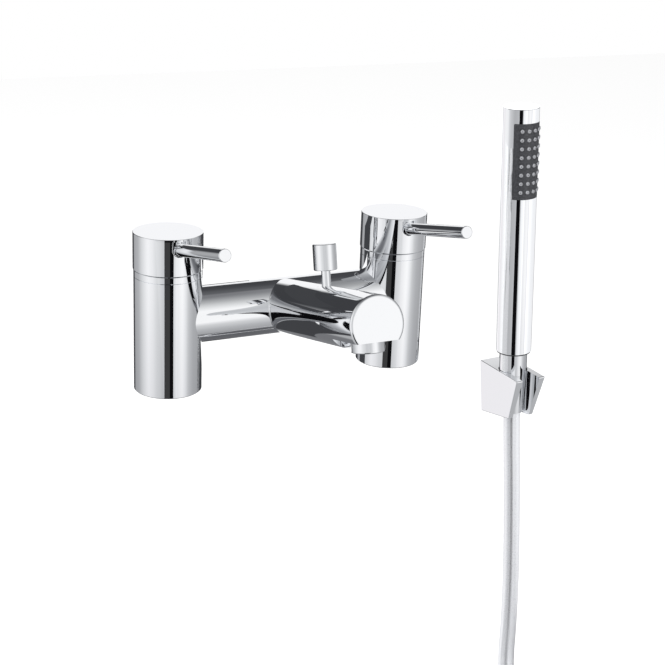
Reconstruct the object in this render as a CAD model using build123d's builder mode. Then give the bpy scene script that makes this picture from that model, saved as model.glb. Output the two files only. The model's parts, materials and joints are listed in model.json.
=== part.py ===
# Two-handle bath shower mixer with a stick handset, its hose and its wall holder.
# Millimetres, +Z up. The origin is on the bath deck, halfway between the two inlets.
# The spout points along -Y. The hot side is at -X and the cold side at +X.
import os
from math import atan2, cos, degrees, pi, radians, sin, sqrt, tan

from build123d import *

os.makedirs("parts", exist_ok=True)

# Clearances
thread_gap = 0.05
running_gap = 0.08
turning_gap = 0.3
overrun = 2.0

# Body casting
inlet_spacing = 180.0
pillar_radius = 24.3
pillar_height = 84.75
pillar_foot_chamfer = 0.6
tube_radius = 20.4
tube_height = 53.2
spout_radius = 19.9
spout_root_height = 52.7
spout_rise = 11.95
spout_length = 150.4
spout_rim_radius = 1.9
spout_blend_radius = 0.8

# Waterways in the casting
socket_radius = 12.06
socket_depth = 16.0
riser_radius = 11.0
riser_chamber_radius = 18.5
riser_chamber_base = 20.0
valve_seat_web = 6.0
valve_seat_height = 44.0
valve_port_radius = 6.5
valve_chamber_radius = 18.5
valve_chamber_roof = 16.75
cartridge_thread_radius = 9.3
gallery_radius = 16.2
gallery_port_radius = 8.0

# Spout outlet
outlet_flat_drop = 11.5
outlet_flat_length = 35.5
aerator_setback = 16.3
aerator_radius = 11.35
aerator_drop = 19.7
aerator_edge = 0.9
aerator_neck_radius = 8.6
aerator_neck_length = 6.0
aerator_bore_radius = 9.4
aerator_throat_radius = 7.0
aerator_floor_depth = 1.2
aerator_insert_recess = 0.9
aerator_insert_height = 4.6
aerator_jet_radius = 0.75
aerator_jet_pitch = 2.6
aerator_jets_across = 5
aerator_washer_height = 1.4

# Diverter
diverter_setting = 76.35
diverter_chamber_radius = 6.6
diverter_seat_radius = 4.6
diverter_seat_half_height = 1.0
diverter_pocket_depth = 13.4
waterway_radius = 5.2
waterway_offset = 6.4
diverter_lift = 7.0
knob_radius = 8.25
knob_base = 30.95
knob_top = 49.15
knob_edge = 0.4
rod_radius = 3.25
rod_tail_radius = 2.2
rod_spigot_radius = 2.5
rod_spigot_length = 10.0
rod_head_radius = 3.35
rod_head_height = 1.1
valve_disc_radius = 6.1
valve_disc_height = 1.7
valve_washer_height = 1.8
bonnet_base = 11.8
diverter_ring_radius = 0.8
diverter_ring_height = 14.6

# Shower outlet at the back of the bridge
outlet_boss_radius = 13.0
outlet_boss_face = 22.4
outlet_bore_radius = 8.6
outlet_thread_radius = 10.48
outlet_thread_length = 10.0
outlet_flange_radius = 12.4
outlet_flange_height = 2.6
outlet_seal_height = 0.8
outlet_way_radius = 6.0
outlet_shank_length = 6.0

# Ceramic cartridge, upwards from its seat
seat_seal_height = 2.0
seat_seal_radius = 8.8
barrel_radius = 8.9
barrel_bore_radius = 7.4
disc_radius = 7.3
disc_height = 3.0
disc_hole_radius = 1.9
disc_hole_circle = 3.9
disc_holes = 2
spindle_foot_height = 4.0
spindle_radius = 4.0
spindle_top = 103.0
spindle_groove_height = 76.0
spindle_ring_radius = 0.5
spline_length = 9.0
spline_depth = 0.45
spline_width = 0.8
splines = 12
cartridge_flange_radius = 11.4
cartridge_flange_height = 3.4
cartridge_neck_radius = 7.5
cartridge_neck_top = 94.0
window_width = 8.0

# Handle
collar_height = 5.15
collar_bore_radius = 11.7
collar_edge = 0.35
cap_radius = 24.8
cap_height = 26.6
cap_wall = 3.0
cap_edge = 0.25
cap_disc_height = 1.5
hub_skirt_gap = 1.0
hub_neck_clearance = 1.5
lever_slot_radius = 5.3
lever_slot_edge = 0.5
lever_radius = 4.45
lever_rise = 12.5
lever_axis_height = 104.0
lever_length = 106.8
lever_end_radius = 0.55
lever_seat = 18.4
lever_stud_radius = 2.97
lever_stud_length = 10.0
lock_screw_radius = 2.45
lock_screw_length = 8.0
lock_screw_height = 97.4
lock_screw_socket_radius = 1.3
lock_screw_socket_depth = 3.2

# Wall holder. Its seat leans in the plane of the wall, as in the photograph.
holder_x = 239.56
holder_y = 46.42
holder_z = -44.3
holder_lean = 3.0
holder_width = 28.4
holder_foot_width = 23.7
holder_depth = 58.1
holder_foot_depth = 44.1
holder_back_height = 47.6
holder_front_height = 39.0
holder_seat_to_wall = 29.8
holder_edge = 0.9
seat_top_radius = 12.3
seat_lead_depth = 2.5
seat_gap = 0.1
seat_taper = 3.0
holder_slot_width = 16.6
holder_pocket_width = 17.0
holder_pocket_depth = 12.0
holder_pocket_margin = 6.0
wall_hole_radius = 2.2
wall_hole_head_radius = 4.2
wall_hole_spacing = 20.0
holder_screw_radius = 1.97
holder_screw_length = 7.5

# Handset, measured along its own axis from the top of the holder
handset_radius = 15.0
handset_wall = 1.6
handset_base = 17.4
handset_top = 226.0
handset_cap_height = 1.4
handset_cap_plug = 6.0
handset_edge = 0.35
spray_margin = 11.4
spray_length = 62.4
spray_azimuth = 17.2
spray_half_angle = 71.8
spray_corner = 1.0
spray_fit_gap = 0.1
nozzle_rows = 8
nozzle_columns = 5
nozzle_pitch = 7.16
nozzle_angle_pitch = 22.4
nozzle_radius = 1.6
nozzle_stand = 0.9
nozzle_tip_chamfer = 0.5
nozzle_mat_thickness = 1.7
core_radius = 11.6
core_bore_radius = 7.5
core_tail_gap = 1.6
core_cap_gap = 1.6
tail_plug_length = 14.0
tail_thread_radius = 10.48
tail_bore_radius = 6.0
gap_ring_height = 0.9
gap_ring_radius = 14.4

# Hose and what is on it
hose_radius = 7.23
hose_length = 1500.0
cone_nut_radius = 11.7
cone_nut_thread_depth = 22.5
cone_nut_depth = 38.0
cone_nut_cavity_radius = 8.7
cone_nut_lip = 4.0
cone_nut_edge = 0.3
hose_exit_clearance = 0.3
ferrule_flange_radius = 9.6
ferrule_flange_height = 2.0
ferrule_wall = 1.1
ferrule_length = 20.0
ferrule_lip = 3.6
hose_washer_height = 2.0
hose_washer_radius = 9.4
hose_washer_bore_radius = 5.5
hex_nut_across_flats = 24.0
hex_nut_length = 19.5
hex_nut_wall = 2.5
hex_nut_collar_radius = 10.6
hex_nut_collar_length = 5.0
hex_nut_relief_radius = 10.9
coil_turns = 2
coil_radius = 76.63
coil_gap = 0.75
coil_dip = 0.8
coil_tail_run = 62.0
coil_end_run = 24.0
hose_first_run = 38.4
hose_lean_x = 249.35
hose_lean_z = -164.0
hose_hang_x = 257.0
hose_hang_z = -268.0
hose_landing_y = -76.9
bend_run = 46.0
bend_angles = (60, 30)
floor_height = -455.0
arc_share = 0.45

# Places worked out from the sizes above
pillar_places = {"hot": -inlet_spacing / 2, "cold": inlet_spacing / 2}
spout_axis = Plane(
    origin=(0, 0, spout_root_height),
    x_dir=(1, 0, 0),
    z_dir=(0, -cos(radians(spout_rise)), sin(radians(spout_rise))),
)
holder_axis_dir = (-sin(radians(holder_lean)), 0, cos(radians(holder_lean)))
holder_side_dir = (cos(radians(holder_lean)), 0, sin(radians(holder_lean)))
holder_axis = Plane(
    origin=(holder_x, holder_y, holder_z),
    x_dir=holder_side_dir,
    z_dir=holder_axis_dir,
)


def upright(x, height):
    """A horizontal plane over the deck, with its origin at x."""
    return Plane(origin=(x, 0, height))


def across_spout(along):
    """A plane square to the water way, through the spout's axis, facing up."""
    return Plane(
        origin=spout_axis.from_local_coords((0, 0, along)),
        x_dir=(1, 0, 0),
        z_dir=spout_axis.y_dir,
    )


def turned(plane, steps, mode=Mode.ADD):
    """Coaxial cylinders in the part being built: radius, start and end of each."""
    for radius, start, end in steps:
        with BuildSketch(plane.offset(start)) as section:
            Circle(radius)
        extrude(section.sketch, amount=end - start, mode=mode)


# Body casting: two pillars, the bridge between them and the spout
riser_top = valve_seat_height - valve_seat_web
valve_chamber_top = pillar_height - valve_chamber_roof
aerator_setting = spout_length - aerator_setback
diverter_plane = across_spout(diverter_setting)
aerator_plane = across_spout(aerator_setting)
gallery_half = inlet_spacing / 2 - pillar_radius
bridge_plane = Plane(origin=(0, 0, tube_height), x_dir=(0, 1, 0), z_dir=(1, 0, 0))
outlet_plane = Plane(origin=(0, 0, tube_height), x_dir=(-1, 0, 0), z_dir=(0, 1, 0))

with BuildPart() as mixer_body:
    with BuildSketch(bridge_plane):
        Circle(tube_radius)
    extrude(amount=inlet_spacing / 2, both=True)
    with BuildSketch(spout_axis):
        Circle(spout_radius)
    extrude(amount=spout_length)
    spout_end = mixer_body.faces().sort_by(Axis.Y)[0]
    fillet(spout_end.edges(), radius=spout_rim_radius)
    seam = [
        edge
        for edge in mixer_body.edges().filter_by(GeomType.BSPLINE)
        if edge.center().Y < 0 and abs(edge.center().X) < spout_radius
    ]
    fillet(seam, radius=spout_blend_radius)
    with BuildSketch(upright(0, 0)):
        with Locations(*[(x, 0) for x in pillar_places.values()]):
            Circle(pillar_radius)
    extrude(amount=pillar_height)
    feet = mixer_body.faces().sort_by(Axis.Z)[0:2]
    chamfer(feet.edges(), length=pillar_foot_chamfer)
    turned(outlet_plane, [(outlet_boss_radius, 0, outlet_boss_face)])
    flat_plane = Plane(
        origin=aerator_plane.from_local_coords((0, 0, -outlet_flat_drop)),
        x_dir=(1, 0, 0),
        z_dir=-aerator_plane.z_dir,
    )
    with BuildSketch(flat_plane):
        with Locations((0, spout_length - aerator_setting - outlet_flat_length / 2)):
            Rectangle(2 * spout_radius, outlet_flat_length)
    extrude(amount=spout_radius, mode=Mode.SUBTRACT)
    with BuildSketch(bridge_plane):
        Circle(gallery_radius)
    extrude(amount=gallery_half, both=True, mode=Mode.SUBTRACT)
    with BuildSketch(bridge_plane):
        Circle(gallery_port_radius)
    extrude(amount=inlet_spacing / 2, both=True, mode=Mode.SUBTRACT)
    for x in pillar_places.values():
        turned(
            upright(x, 0),
            [
                (socket_radius, -overrun, socket_depth),
                (riser_radius, 0, riser_top),
                (riser_chamber_radius, riser_chamber_base, riser_top),
                (valve_port_radius, 0, valve_seat_height),
                (valve_chamber_radius, valve_seat_height, valve_chamber_top),
                (cartridge_thread_radius, valve_seat_height, pillar_height + overrun),
            ],
            Mode.SUBTRACT,
        )
    for side, start, end in ((-1, 0, diverter_setting), (1, diverter_setting, aerator_setting)):
        with BuildSketch(spout_axis.offset(start)) as way:
            with Locations((0, side * waterway_offset)):
                Circle(waterway_radius)
        extrude(way.sketch, amount=end - start, mode=Mode.SUBTRACT)
    turned(
        diverter_plane,
        [
            (diverter_chamber_radius, -diverter_pocket_depth, -diverter_seat_half_height),
            (diverter_seat_radius, -diverter_pocket_depth, spout_radius),
            (diverter_chamber_radius, diverter_seat_half_height, spout_radius + overrun),
        ],
        Mode.SUBTRACT,
    )
    turned(
        aerator_plane,
        [(aerator_neck_radius, -outlet_flat_drop - overrun, waterway_offset)],
        Mode.SUBTRACT,
    )
    turned(
        outlet_plane,
        [(outlet_bore_radius, 0, outlet_boss_face + overrun)],
        Mode.SUBTRACT,
    )
mixer_body.part.label = "mixer_body"
export_step(mixer_body.part, "parts/mixer_body.step")

# Quarter-turn handles: the fixed cartridge and the pieces that turn with the lever
disc_base = valve_seat_height + seat_seal_height
moving_disc_base = disc_base + disc_height
foot_base = moving_disc_base + disc_height
foot_top = foot_base + spindle_foot_height
collar_top = pillar_height + collar_height
cap_base = collar_top + turning_gap
cap_top = cap_base + cap_height
sleeve_top = cap_top - cap_disc_height
hub_radius = cap_radius - cap_wall
hub_base = cap_base + hub_skirt_gap
lever_dir = (0, -cos(radians(lever_rise)), sin(radians(lever_rise)))
slot_height = lever_axis_height + cap_radius * tan(radians(lever_rise))

for side, x in pillar_places.items():
    lever_axis = Plane(origin=(x, 0, lever_axis_height), x_dir=(1, 0, 0), z_dir=lever_dir)
    lock_axis = Plane(origin=(x, 0, lock_screw_height), x_dir=(-1, 0, 0), z_dir=(0, 1, 0))
    front_axis = Plane(origin=(x, 0, slot_height), x_dir=(1, 0, 0), z_dir=(0, -1, 0))

    with BuildPart() as seat_seal:
        turned(upright(x, valve_seat_height), [(seat_seal_radius, 0, seat_seal_height)])
        turned(upright(x, valve_seat_height), [(valve_port_radius, 0, seat_seal_height)], Mode.SUBTRACT)
    seat_seal.part.label = f"{side}_seat_seal"
    export_step(seat_seal.part, f"parts/{side}_seat_seal.step")

    with BuildPart() as cartridge:
        turned(
            upright(x, 0),
            [
                (barrel_radius, disc_base, pillar_height),
                (cartridge_thread_radius - thread_gap, valve_chamber_top, pillar_height),
                (cartridge_flange_radius, pillar_height, pillar_height + cartridge_flange_height),
                (cartridge_neck_radius, pillar_height, cartridge_neck_top),
            ],
        )
        turned(
            upright(x, 0),
            [
                (barrel_bore_radius, disc_base, foot_top + running_gap),
                (spindle_radius + running_gap, foot_top, cartridge_neck_top),
            ],
            Mode.SUBTRACT,
        )
        with BuildSketch(upright(x, foot_base)) as window:
            Rectangle(window_width, 2 * valve_chamber_radius)
        extrude(window.sketch, amount=spindle_foot_height, mode=Mode.SUBTRACT)
    cartridge.part.label = f"{side}_cartridge"
    export_step(cartridge.part, f"parts/{side}_cartridge.step")

    for disc_name, base, start_angle in (
        ("fixed_disc", disc_base, 0),
        ("moving_disc", moving_disc_base, 90),
    ):
        with BuildPart() as disc:
            with BuildSketch(upright(x, base)):
                Circle(disc_radius)
                with PolarLocations(disc_hole_circle, disc_holes, start_angle=start_angle):
                    Circle(disc_hole_radius, mode=Mode.SUBTRACT)
            extrude(amount=disc_height)
        disc.part.label = f"{side}_{disc_name}"
        export_step(disc.part, f"parts/{side}_{disc_name}.step")

    with BuildPart() as spindle:
        turned(
            upright(x, 0),
            [
                (disc_radius, foot_base, foot_top),
                (spindle_radius, foot_top, spindle_top),
            ],
        )
        with BuildSketch(upright(x, spindle_groove_height)) as groove:
            Circle(spindle_radius + overrun)
            Circle(spindle_radius - 2 * spindle_ring_radius, mode=Mode.SUBTRACT)
        extrude(groove.sketch, amount=spindle_ring_radius + thread_gap, both=True, mode=Mode.SUBTRACT)
        with BuildSketch(upright(x, spindle_top - spline_length)) as spline:
            with PolarLocations(spindle_radius, splines):
                Rectangle(2 * spline_depth, spline_width)
        extrude(spline.sketch, amount=spline_length, mode=Mode.SUBTRACT)
    spindle.part.label = f"{side}_spindle"
    export_step(spindle.part, f"parts/{side}_spindle.step")

    with BuildPart() as spindle_ring:
        ring_plane = Plane(origin=(x, 0, spindle_groove_height), x_dir=(1, 0, 0), z_dir=(0, -1, 0))
        with BuildSketch(ring_plane):
            with Locations((spindle_radius - spindle_ring_radius, 0)):
                Circle(spindle_ring_radius - thread_gap / 2)
        revolve(axis=Axis((x, 0, 0), (0, 0, 1)))
    spindle_ring.part.label = f"{side}_spindle_ring"
    export_step(spindle_ring.part, f"parts/{side}_spindle_ring.step")

    with BuildPart() as collar:
        with BuildSketch(upright(x, pillar_height)):
            Circle(pillar_radius)
            Circle(collar_bore_radius, mode=Mode.SUBTRACT)
        extrude(amount=collar_height)
        rims = collar.edges().filter_by(GeomType.CIRCLE).sort_by(SortBy.RADIUS)[-2:]
        chamfer(rims, length=collar_edge)
    collar.part.label = f"{side}_collar"
    export_step(collar.part, f"parts/{side}_collar.step")

    with BuildPart() as handle_sleeve:
        with BuildSketch(upright(x, cap_base)):
            Circle(cap_radius)
            Circle(hub_radius, mode=Mode.SUBTRACT)
        extrude(amount=sleeve_top - cap_base)
        rims = handle_sleeve.edges().filter_by(GeomType.CIRCLE).sort_by(Axis.Z)[0:2]
        chamfer(rims.sort_by(SortBy.RADIUS)[-1], length=cap_edge)
        with BuildSketch(front_axis) as slot:
            Circle(lever_slot_radius)
            with Locations((0, lever_slot_radius + overrun)):
                Rectangle(2 * lever_slot_radius, 2 * (lever_slot_radius + overrun))
        extrude(slot.sketch, amount=cap_radius + overrun, mode=Mode.SUBTRACT)
        middle_radius = (hub_radius + cap_radius) / 2
        slot_rim = [edge for edge in handle_sleeve.edges() if edge.center().Y < -middle_radius]
        fillet(slot_rim, radius=lever_slot_edge)
        turned(lock_axis, [(lock_screw_radius + thread_gap, 0, cap_radius + overrun)], Mode.SUBTRACT)
    handle_sleeve.part.label = f"{side}_handle_sleeve"
    export_step(handle_sleeve.part, f"parts/{side}_handle_sleeve.step")

    with BuildPart() as handle_disc:
        turned(upright(x, sleeve_top), [(cap_radius, 0, cap_disc_height)])
        top_rim = handle_disc.edges().sort_by(Axis.Z)[-1]
        chamfer(top_rim, length=cap_edge)
    handle_disc.part.label = f"{side}_handle_disc"
    export_step(handle_disc.part, f"parts/{side}_handle_disc.step")

    with BuildPart() as hub:
        turned(upright(x, 0), [(hub_radius - thread_gap, hub_base, sleeve_top)])
        turned(
            upright(x, 0),
            [
                (spindle_radius + thread_gap, hub_base, spindle_top + thread_gap),
                (cartridge_flange_radius + hub_neck_clearance, hub_base, cartridge_neck_top + hub_skirt_gap),
            ],
            Mode.SUBTRACT,
        )
        turned(
            lever_axis,
            [
                (lever_radius + thread_gap, lever_seat, cap_radius + overrun),
                (lever_stud_radius + thread_gap, lever_seat - lever_stud_length, cap_radius),
            ],
            Mode.SUBTRACT,
        )
        turned(lock_axis, [(lock_screw_radius + thread_gap, 0, cap_radius)], Mode.SUBTRACT)
    hub.part.label = f"{side}_handle_hub"
    export_step(hub.part, f"parts/{side}_handle_hub.step")

    with BuildPart() as lever:
        turned(lever_axis, [(lever_radius, lever_seat, lever_length)])
        tip = lever.edges().filter_by(GeomType.CIRCLE).sort_by(Axis.Y)[0]
        fillet(tip, radius=lever_end_radius)
        turned(lever_axis, [(lever_stud_radius, lever_seat - lever_stud_length, lever_seat)])
    lever.part.label = f"{side}_lever"
    export_step(lever.part, f"parts/{side}_lever.step")

    with BuildPart() as lock_screw:
        screw_start = spindle_radius + thread_gap
        turned(lock_axis, [(lock_screw_radius, screw_start, screw_start + lock_screw_length)])
        with BuildSketch(lock_axis.offset(screw_start + lock_screw_length)) as hexagon:
            RegularPolygon(lock_screw_socket_radius, 6)
        extrude(hexagon.sketch, amount=-lock_screw_socket_depth, mode=Mode.SUBTRACT)
    lock_screw.part.label = f"{side}_lock_screw"
    export_step(lock_screw.part, f"parts/{side}_lock_screw.step")

# Diverter: knob, rod and valve lift together and close the way to the spout
washer_top = -diverter_seat_half_height - diverter_lift
disc_top = washer_top - valve_washer_height
disc_bottom = disc_top - valve_disc_height

with BuildPart() as diverter_knob:
    turned(diverter_plane, [(knob_radius, knob_base, knob_top)])
    chamfer(diverter_knob.edges().filter_by(GeomType.CIRCLE), length=knob_edge)
    turned(
        diverter_plane,
        [(rod_spigot_radius + thread_gap, knob_base, knob_base + rod_spigot_length + thread_gap)],
        Mode.SUBTRACT,
    )
diverter_knob.part.label = "diverter_knob"
export_step(diverter_knob.part, "parts/diverter_knob.step")

with BuildPart() as diverter_rod:
    turned(
        diverter_plane,
        [
            (rod_head_radius, disc_bottom - rod_head_height, disc_bottom),
            (rod_tail_radius, disc_bottom, washer_top),
            (rod_radius, washer_top, knob_base),
            (rod_spigot_radius, knob_base, knob_base + rod_spigot_length),
        ],
    )
diverter_rod.part.label = "diverter_rod"
export_step(diverter_rod.part, "parts/diverter_rod.step")

with BuildPart() as diverter_disc:
    turned(diverter_plane, [(valve_disc_radius, disc_bottom, disc_top)])
    turned(diverter_plane, [(rod_tail_radius + thread_gap, disc_bottom, disc_top)], Mode.SUBTRACT)
diverter_disc.part.label = "diverter_disc"
export_step(diverter_disc.part, "parts/diverter_disc.step")

with BuildPart() as diverter_washer:
    turned(diverter_plane, [(valve_disc_radius - thread_gap, disc_top, washer_top)])
    turned(diverter_plane, [(rod_tail_radius + thread_gap, disc_top, washer_top)], Mode.SUBTRACT)
diverter_washer.part.label = "diverter_washer"
export_step(diverter_washer.part, "parts/diverter_washer.step")

with BuildPart() as diverter_bonnet:
    turned(diverter_plane, [(diverter_chamber_radius - thread_gap, bonnet_base, spout_radius + overrun)])
    with BuildSketch(spout_axis):
        Circle(spout_radius)
    extrude(amount=spout_length, mode=Mode.INTERSECT)
    turned(diverter_plane, [(rod_radius + running_gap, bonnet_base, spout_radius + overrun)], Mode.SUBTRACT)
    with BuildSketch(diverter_plane.offset(diverter_ring_height)) as groove:
        Circle(rod_radius + running_gap + 2 * diverter_ring_radius)
    extrude(groove.sketch, amount=diverter_ring_radius + thread_gap, both=True, mode=Mode.SUBTRACT)
diverter_bonnet.part.label = "diverter_bonnet"
export_step(diverter_bonnet.part, "parts/diverter_bonnet.step")

with BuildPart() as diverter_ring:
    ring_plane = Plane(
        origin=diverter_plane.from_local_coords((0, 0, diverter_ring_height)),
        x_dir=(1, 0, 0),
        z_dir=spout_axis.z_dir,
    )
    with BuildSketch(ring_plane):
        with Locations((rod_radius + running_gap + diverter_ring_radius, 0)):
            Circle(diverter_ring_radius - thread_gap / 2)
    revolve(axis=Axis(diverter_plane.origin, diverter_plane.z_dir))
diverter_ring.part.label = "diverter_ring"
export_step(diverter_ring.part, "parts/diverter_ring.step")

# Aerator under the spout's end
neck_top = -outlet_flat_drop + aerator_neck_length
insert_base = -aerator_drop + aerator_insert_recess
insert_top = insert_base + aerator_insert_height
throat_floor = -outlet_flat_drop - aerator_floor_depth

with BuildPart() as aerator_ring:
    turned(aerator_plane, [(aerator_radius, -aerator_drop, -outlet_flat_drop)])
    foot_rim = aerator_ring.edges().filter_by(GeomType.CIRCLE).sort_by(Axis.Z)[0]
    fillet(foot_rim, radius=aerator_edge)
    turned(aerator_plane, [(aerator_neck_radius - thread_gap, -outlet_flat_drop, neck_top)])
    turned(
        aerator_plane,
        [
            (aerator_bore_radius, -aerator_drop, throat_floor),
            (aerator_throat_radius, -aerator_drop, neck_top),
        ],
        Mode.SUBTRACT,
    )
aerator_ring.part.label = "aerator_ring"
export_step(aerator_ring.part, "parts/aerator_ring.step")

with BuildPart() as aerator_insert:
    with BuildSketch(aerator_plane.offset(insert_base)):
        Circle(aerator_bore_radius - thread_gap)
        with GridLocations(aerator_jet_pitch, aerator_jet_pitch, aerator_jets_across, aerator_jets_across):
            Circle(aerator_jet_radius, mode=Mode.SUBTRACT)
    extrude(amount=aerator_insert_height)
aerator_insert.part.label = "aerator_insert"
export_step(aerator_insert.part, "parts/aerator_insert.step")

with BuildPart() as aerator_washer:
    aerator_washer_top = insert_top + aerator_washer_height
    turned(aerator_plane, [(aerator_bore_radius - thread_gap, insert_top, aerator_washer_top)])
    turned(aerator_plane, [(aerator_throat_radius, insert_top, aerator_washer_top)], Mode.SUBTRACT)
aerator_washer.part.label = "aerator_washer"
export_step(aerator_washer.part, "parts/aerator_washer.step")

# Threaded outlet for the hose at the back of the bridge
seal_face = outlet_boss_face + outlet_seal_height
flange_face = seal_face + outlet_flange_height

with BuildPart() as shower_nipple:
    turned(
        outlet_plane,
        [
            (outlet_bore_radius - thread_gap, outlet_boss_face - outlet_shank_length, seal_face),
            (outlet_flange_radius, seal_face, flange_face),
            (outlet_thread_radius, flange_face, flange_face + outlet_thread_length),
        ],
    )
    turned(
        outlet_plane,
        [(outlet_way_radius, outlet_boss_face - outlet_shank_length, flange_face + outlet_thread_length)],
        Mode.SUBTRACT,
    )
shower_nipple.part.label = "shower_nipple"
export_step(shower_nipple.part, "parts/shower_nipple.step")

with BuildPart() as nipple_seal:
    turned(outlet_plane, [(outlet_flange_radius, outlet_boss_face, seal_face)])
    turned(outlet_plane, [(outlet_bore_radius, outlet_boss_face, seal_face)], Mode.SUBTRACT)
nipple_seal.part.label = "nipple_seal"
export_step(nipple_seal.part, "parts/nipple_seal.step")

# Wall holder: a forked block with a conical seat, open to the front
holder_side_plane = Plane(origin=holder_axis.origin, x_dir=(0, 1, 0), z_dir=holder_side_dir)
holder_front_plane = Plane(origin=holder_axis.origin, x_dir=holder_side_dir, z_dir=(0, -1, 0))
holder_wall = holder_seat_to_wall
holder_front = holder_seat_to_wall - holder_depth
holder_foot_front = holder_seat_to_wall - holder_foot_depth
seat_radius = cone_nut_radius + seat_gap
seat_foot_depth = holder_back_height + overrun
seat_foot_radius = seat_radius - (seat_foot_depth - seat_lead_depth) * tan(radians(seat_taper))
pocket_height = holder_back_height - 2 * holder_pocket_margin
pocket_plane = Plane(
    origin=holder_axis.from_local_coords((0, holder_wall, -holder_back_height / 2)),
    x_dir=holder_side_dir,
    z_dir=(0, -1, 0),
)
holder_screw_plane = Plane(
    origin=holder_axis.from_local_coords((0, holder_wall - holder_pocket_depth / 2, -holder_back_height / 2)),
    x_dir=holder_side_dir,
    z_dir=-holder_axis.z_dir,
)

block_screw_start = wall_hole_spacing / 2 + wall_hole_head_radius

with BuildPart() as holder_body:
    with BuildSketch(holder_side_plane):
        with BuildLine():
            Polyline(
                (holder_wall, 0),
                (holder_front, 0),
                (holder_foot_front, -holder_front_height),
                (holder_wall, -holder_back_height),
                close=True,
            )
        make_face()
    extrude(amount=holder_width / 2, both=True)
    with BuildSketch(holder_front_plane):
        with BuildLine():
            Polyline(
                (-holder_width / 2, 0),
                (holder_width / 2, 0),
                (holder_foot_width / 2, -holder_back_height),
                (-holder_foot_width / 2, -holder_back_height),
                close=True,
            )
        make_face()
    extrude(amount=holder_depth, both=True, mode=Mode.INTERSECT)
    wall_edges = holder_body.faces().sort_by(Axis.Y)[-1].edges()
    fillet(holder_body.edges() - wall_edges, radius=holder_edge)
    with BuildSketch(holder_side_plane):
        with BuildLine():
            Polyline(
                (0, overrun),
                (seat_top_radius, overrun),
                (seat_top_radius, 0),
                (seat_radius, -seat_lead_depth),
                (seat_foot_radius, -seat_foot_depth),
                (0, -seat_foot_depth),
                close=True,
            )
        make_face()
    revolve(axis=Axis(holder_axis.origin, holder_axis.z_dir), mode=Mode.SUBTRACT)
    with BuildSketch(holder_axis.offset(overrun)):
        with Locations((0, holder_front / 2 - overrun / 2)):
            Rectangle(holder_slot_width, -holder_front + overrun)
    extrude(amount=-holder_back_height - 2 * overrun, mode=Mode.SUBTRACT)
    with BuildSketch(pocket_plane):
        Rectangle(holder_pocket_width, pocket_height)
    extrude(amount=holder_pocket_depth, mode=Mode.SUBTRACT)
    turned(holder_screw_plane, [(holder_screw_radius + thread_gap, 0, holder_back_height)], Mode.SUBTRACT)
holder_body.part.label = "holder_body"
export_step(holder_body.part, "parts/holder_body.step")

with BuildPart() as holder_block:
    with BuildSketch(pocket_plane):
        Rectangle(holder_pocket_width - 2 * thread_gap, pocket_height - 2 * thread_gap)
    extrude(amount=holder_pocket_depth - thread_gap)
    head_plane = pocket_plane.offset(holder_pocket_depth - thread_gap)
    with Locations(head_plane):
        with GridLocations(0, wall_hole_spacing, 1, 2):
            CounterBoreHole(wall_hole_radius, wall_hole_head_radius, holder_pocket_depth / 2)
    screw_hole = [(holder_screw_radius + thread_gap, block_screw_start, holder_back_height)]
    turned(holder_screw_plane, screw_hole, Mode.SUBTRACT)
holder_block.part.label = "holder_block"
export_step(holder_block.part, "parts/holder_block.step")

screw_tip = block_screw_start + thread_gap
with BuildPart() as holder_screw:
    turned(holder_screw_plane, [(holder_screw_radius, screw_tip, screw_tip + holder_screw_length)])
    with BuildSketch(holder_screw_plane.offset(screw_tip + holder_screw_length)) as hexagon:
        RegularPolygon(lock_screw_socket_radius, 6)
    extrude(hexagon.sketch, amount=-lock_screw_socket_depth, mode=Mode.SUBTRACT)
holder_screw.part.label = "holder_screw"
export_step(holder_screw.part, "parts/holder_screw.step")

# Handset: a plain tube with a window for the spray face along its upper third
tube_bore_radius = handset_radius - handset_wall
plug_radius = tube_bore_radius - thread_gap
handset_tube_top = handset_top - handset_cap_height
spray_top = handset_top - spray_margin
spray_base = spray_top - spray_length
core_base = handset_base + tail_plug_length + core_tail_gap
core_top = handset_tube_top - handset_cap_plug - core_cap_gap
spray_angle = spray_azimuth - 90
spray_height = (spray_base + spray_top) / 2
face_radius = handset_radius - spray_fit_gap
face_half_angle = spray_half_angle - degrees(spray_fit_gap / handset_radius)
mat_radius = core_radius + nozzle_mat_thickness


def sector(half_angle):
    """The corners of a wedge about the middle of the spray face."""
    reach = 2 * handset_radius / cos(radians(half_angle / 2))
    turns = [radians(spray_angle + share * half_angle) for share in (-1, 0, 1)]
    return [(0, 0), *[(reach * cos(turn), reach * sin(turn)) for turn in turns]]


def nozzle_planes():
    """The place of each nozzle, on the handset's axis and facing out."""
    for row in range(nozzle_rows):
        height = spray_height + (row - (nozzle_rows - 1) / 2) * nozzle_pitch
        for column in range(nozzle_columns):
            turn = radians(spray_angle + (column - (nozzle_columns - 1) / 2) * nozzle_angle_pitch)
            origin = holder_axis.from_local_coords((0, 0, height))
            tip = holder_axis.from_local_coords((cos(turn), sin(turn), height))
            yield Plane(origin=origin, x_dir=holder_axis.z_dir, z_dir=tip - origin)


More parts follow.
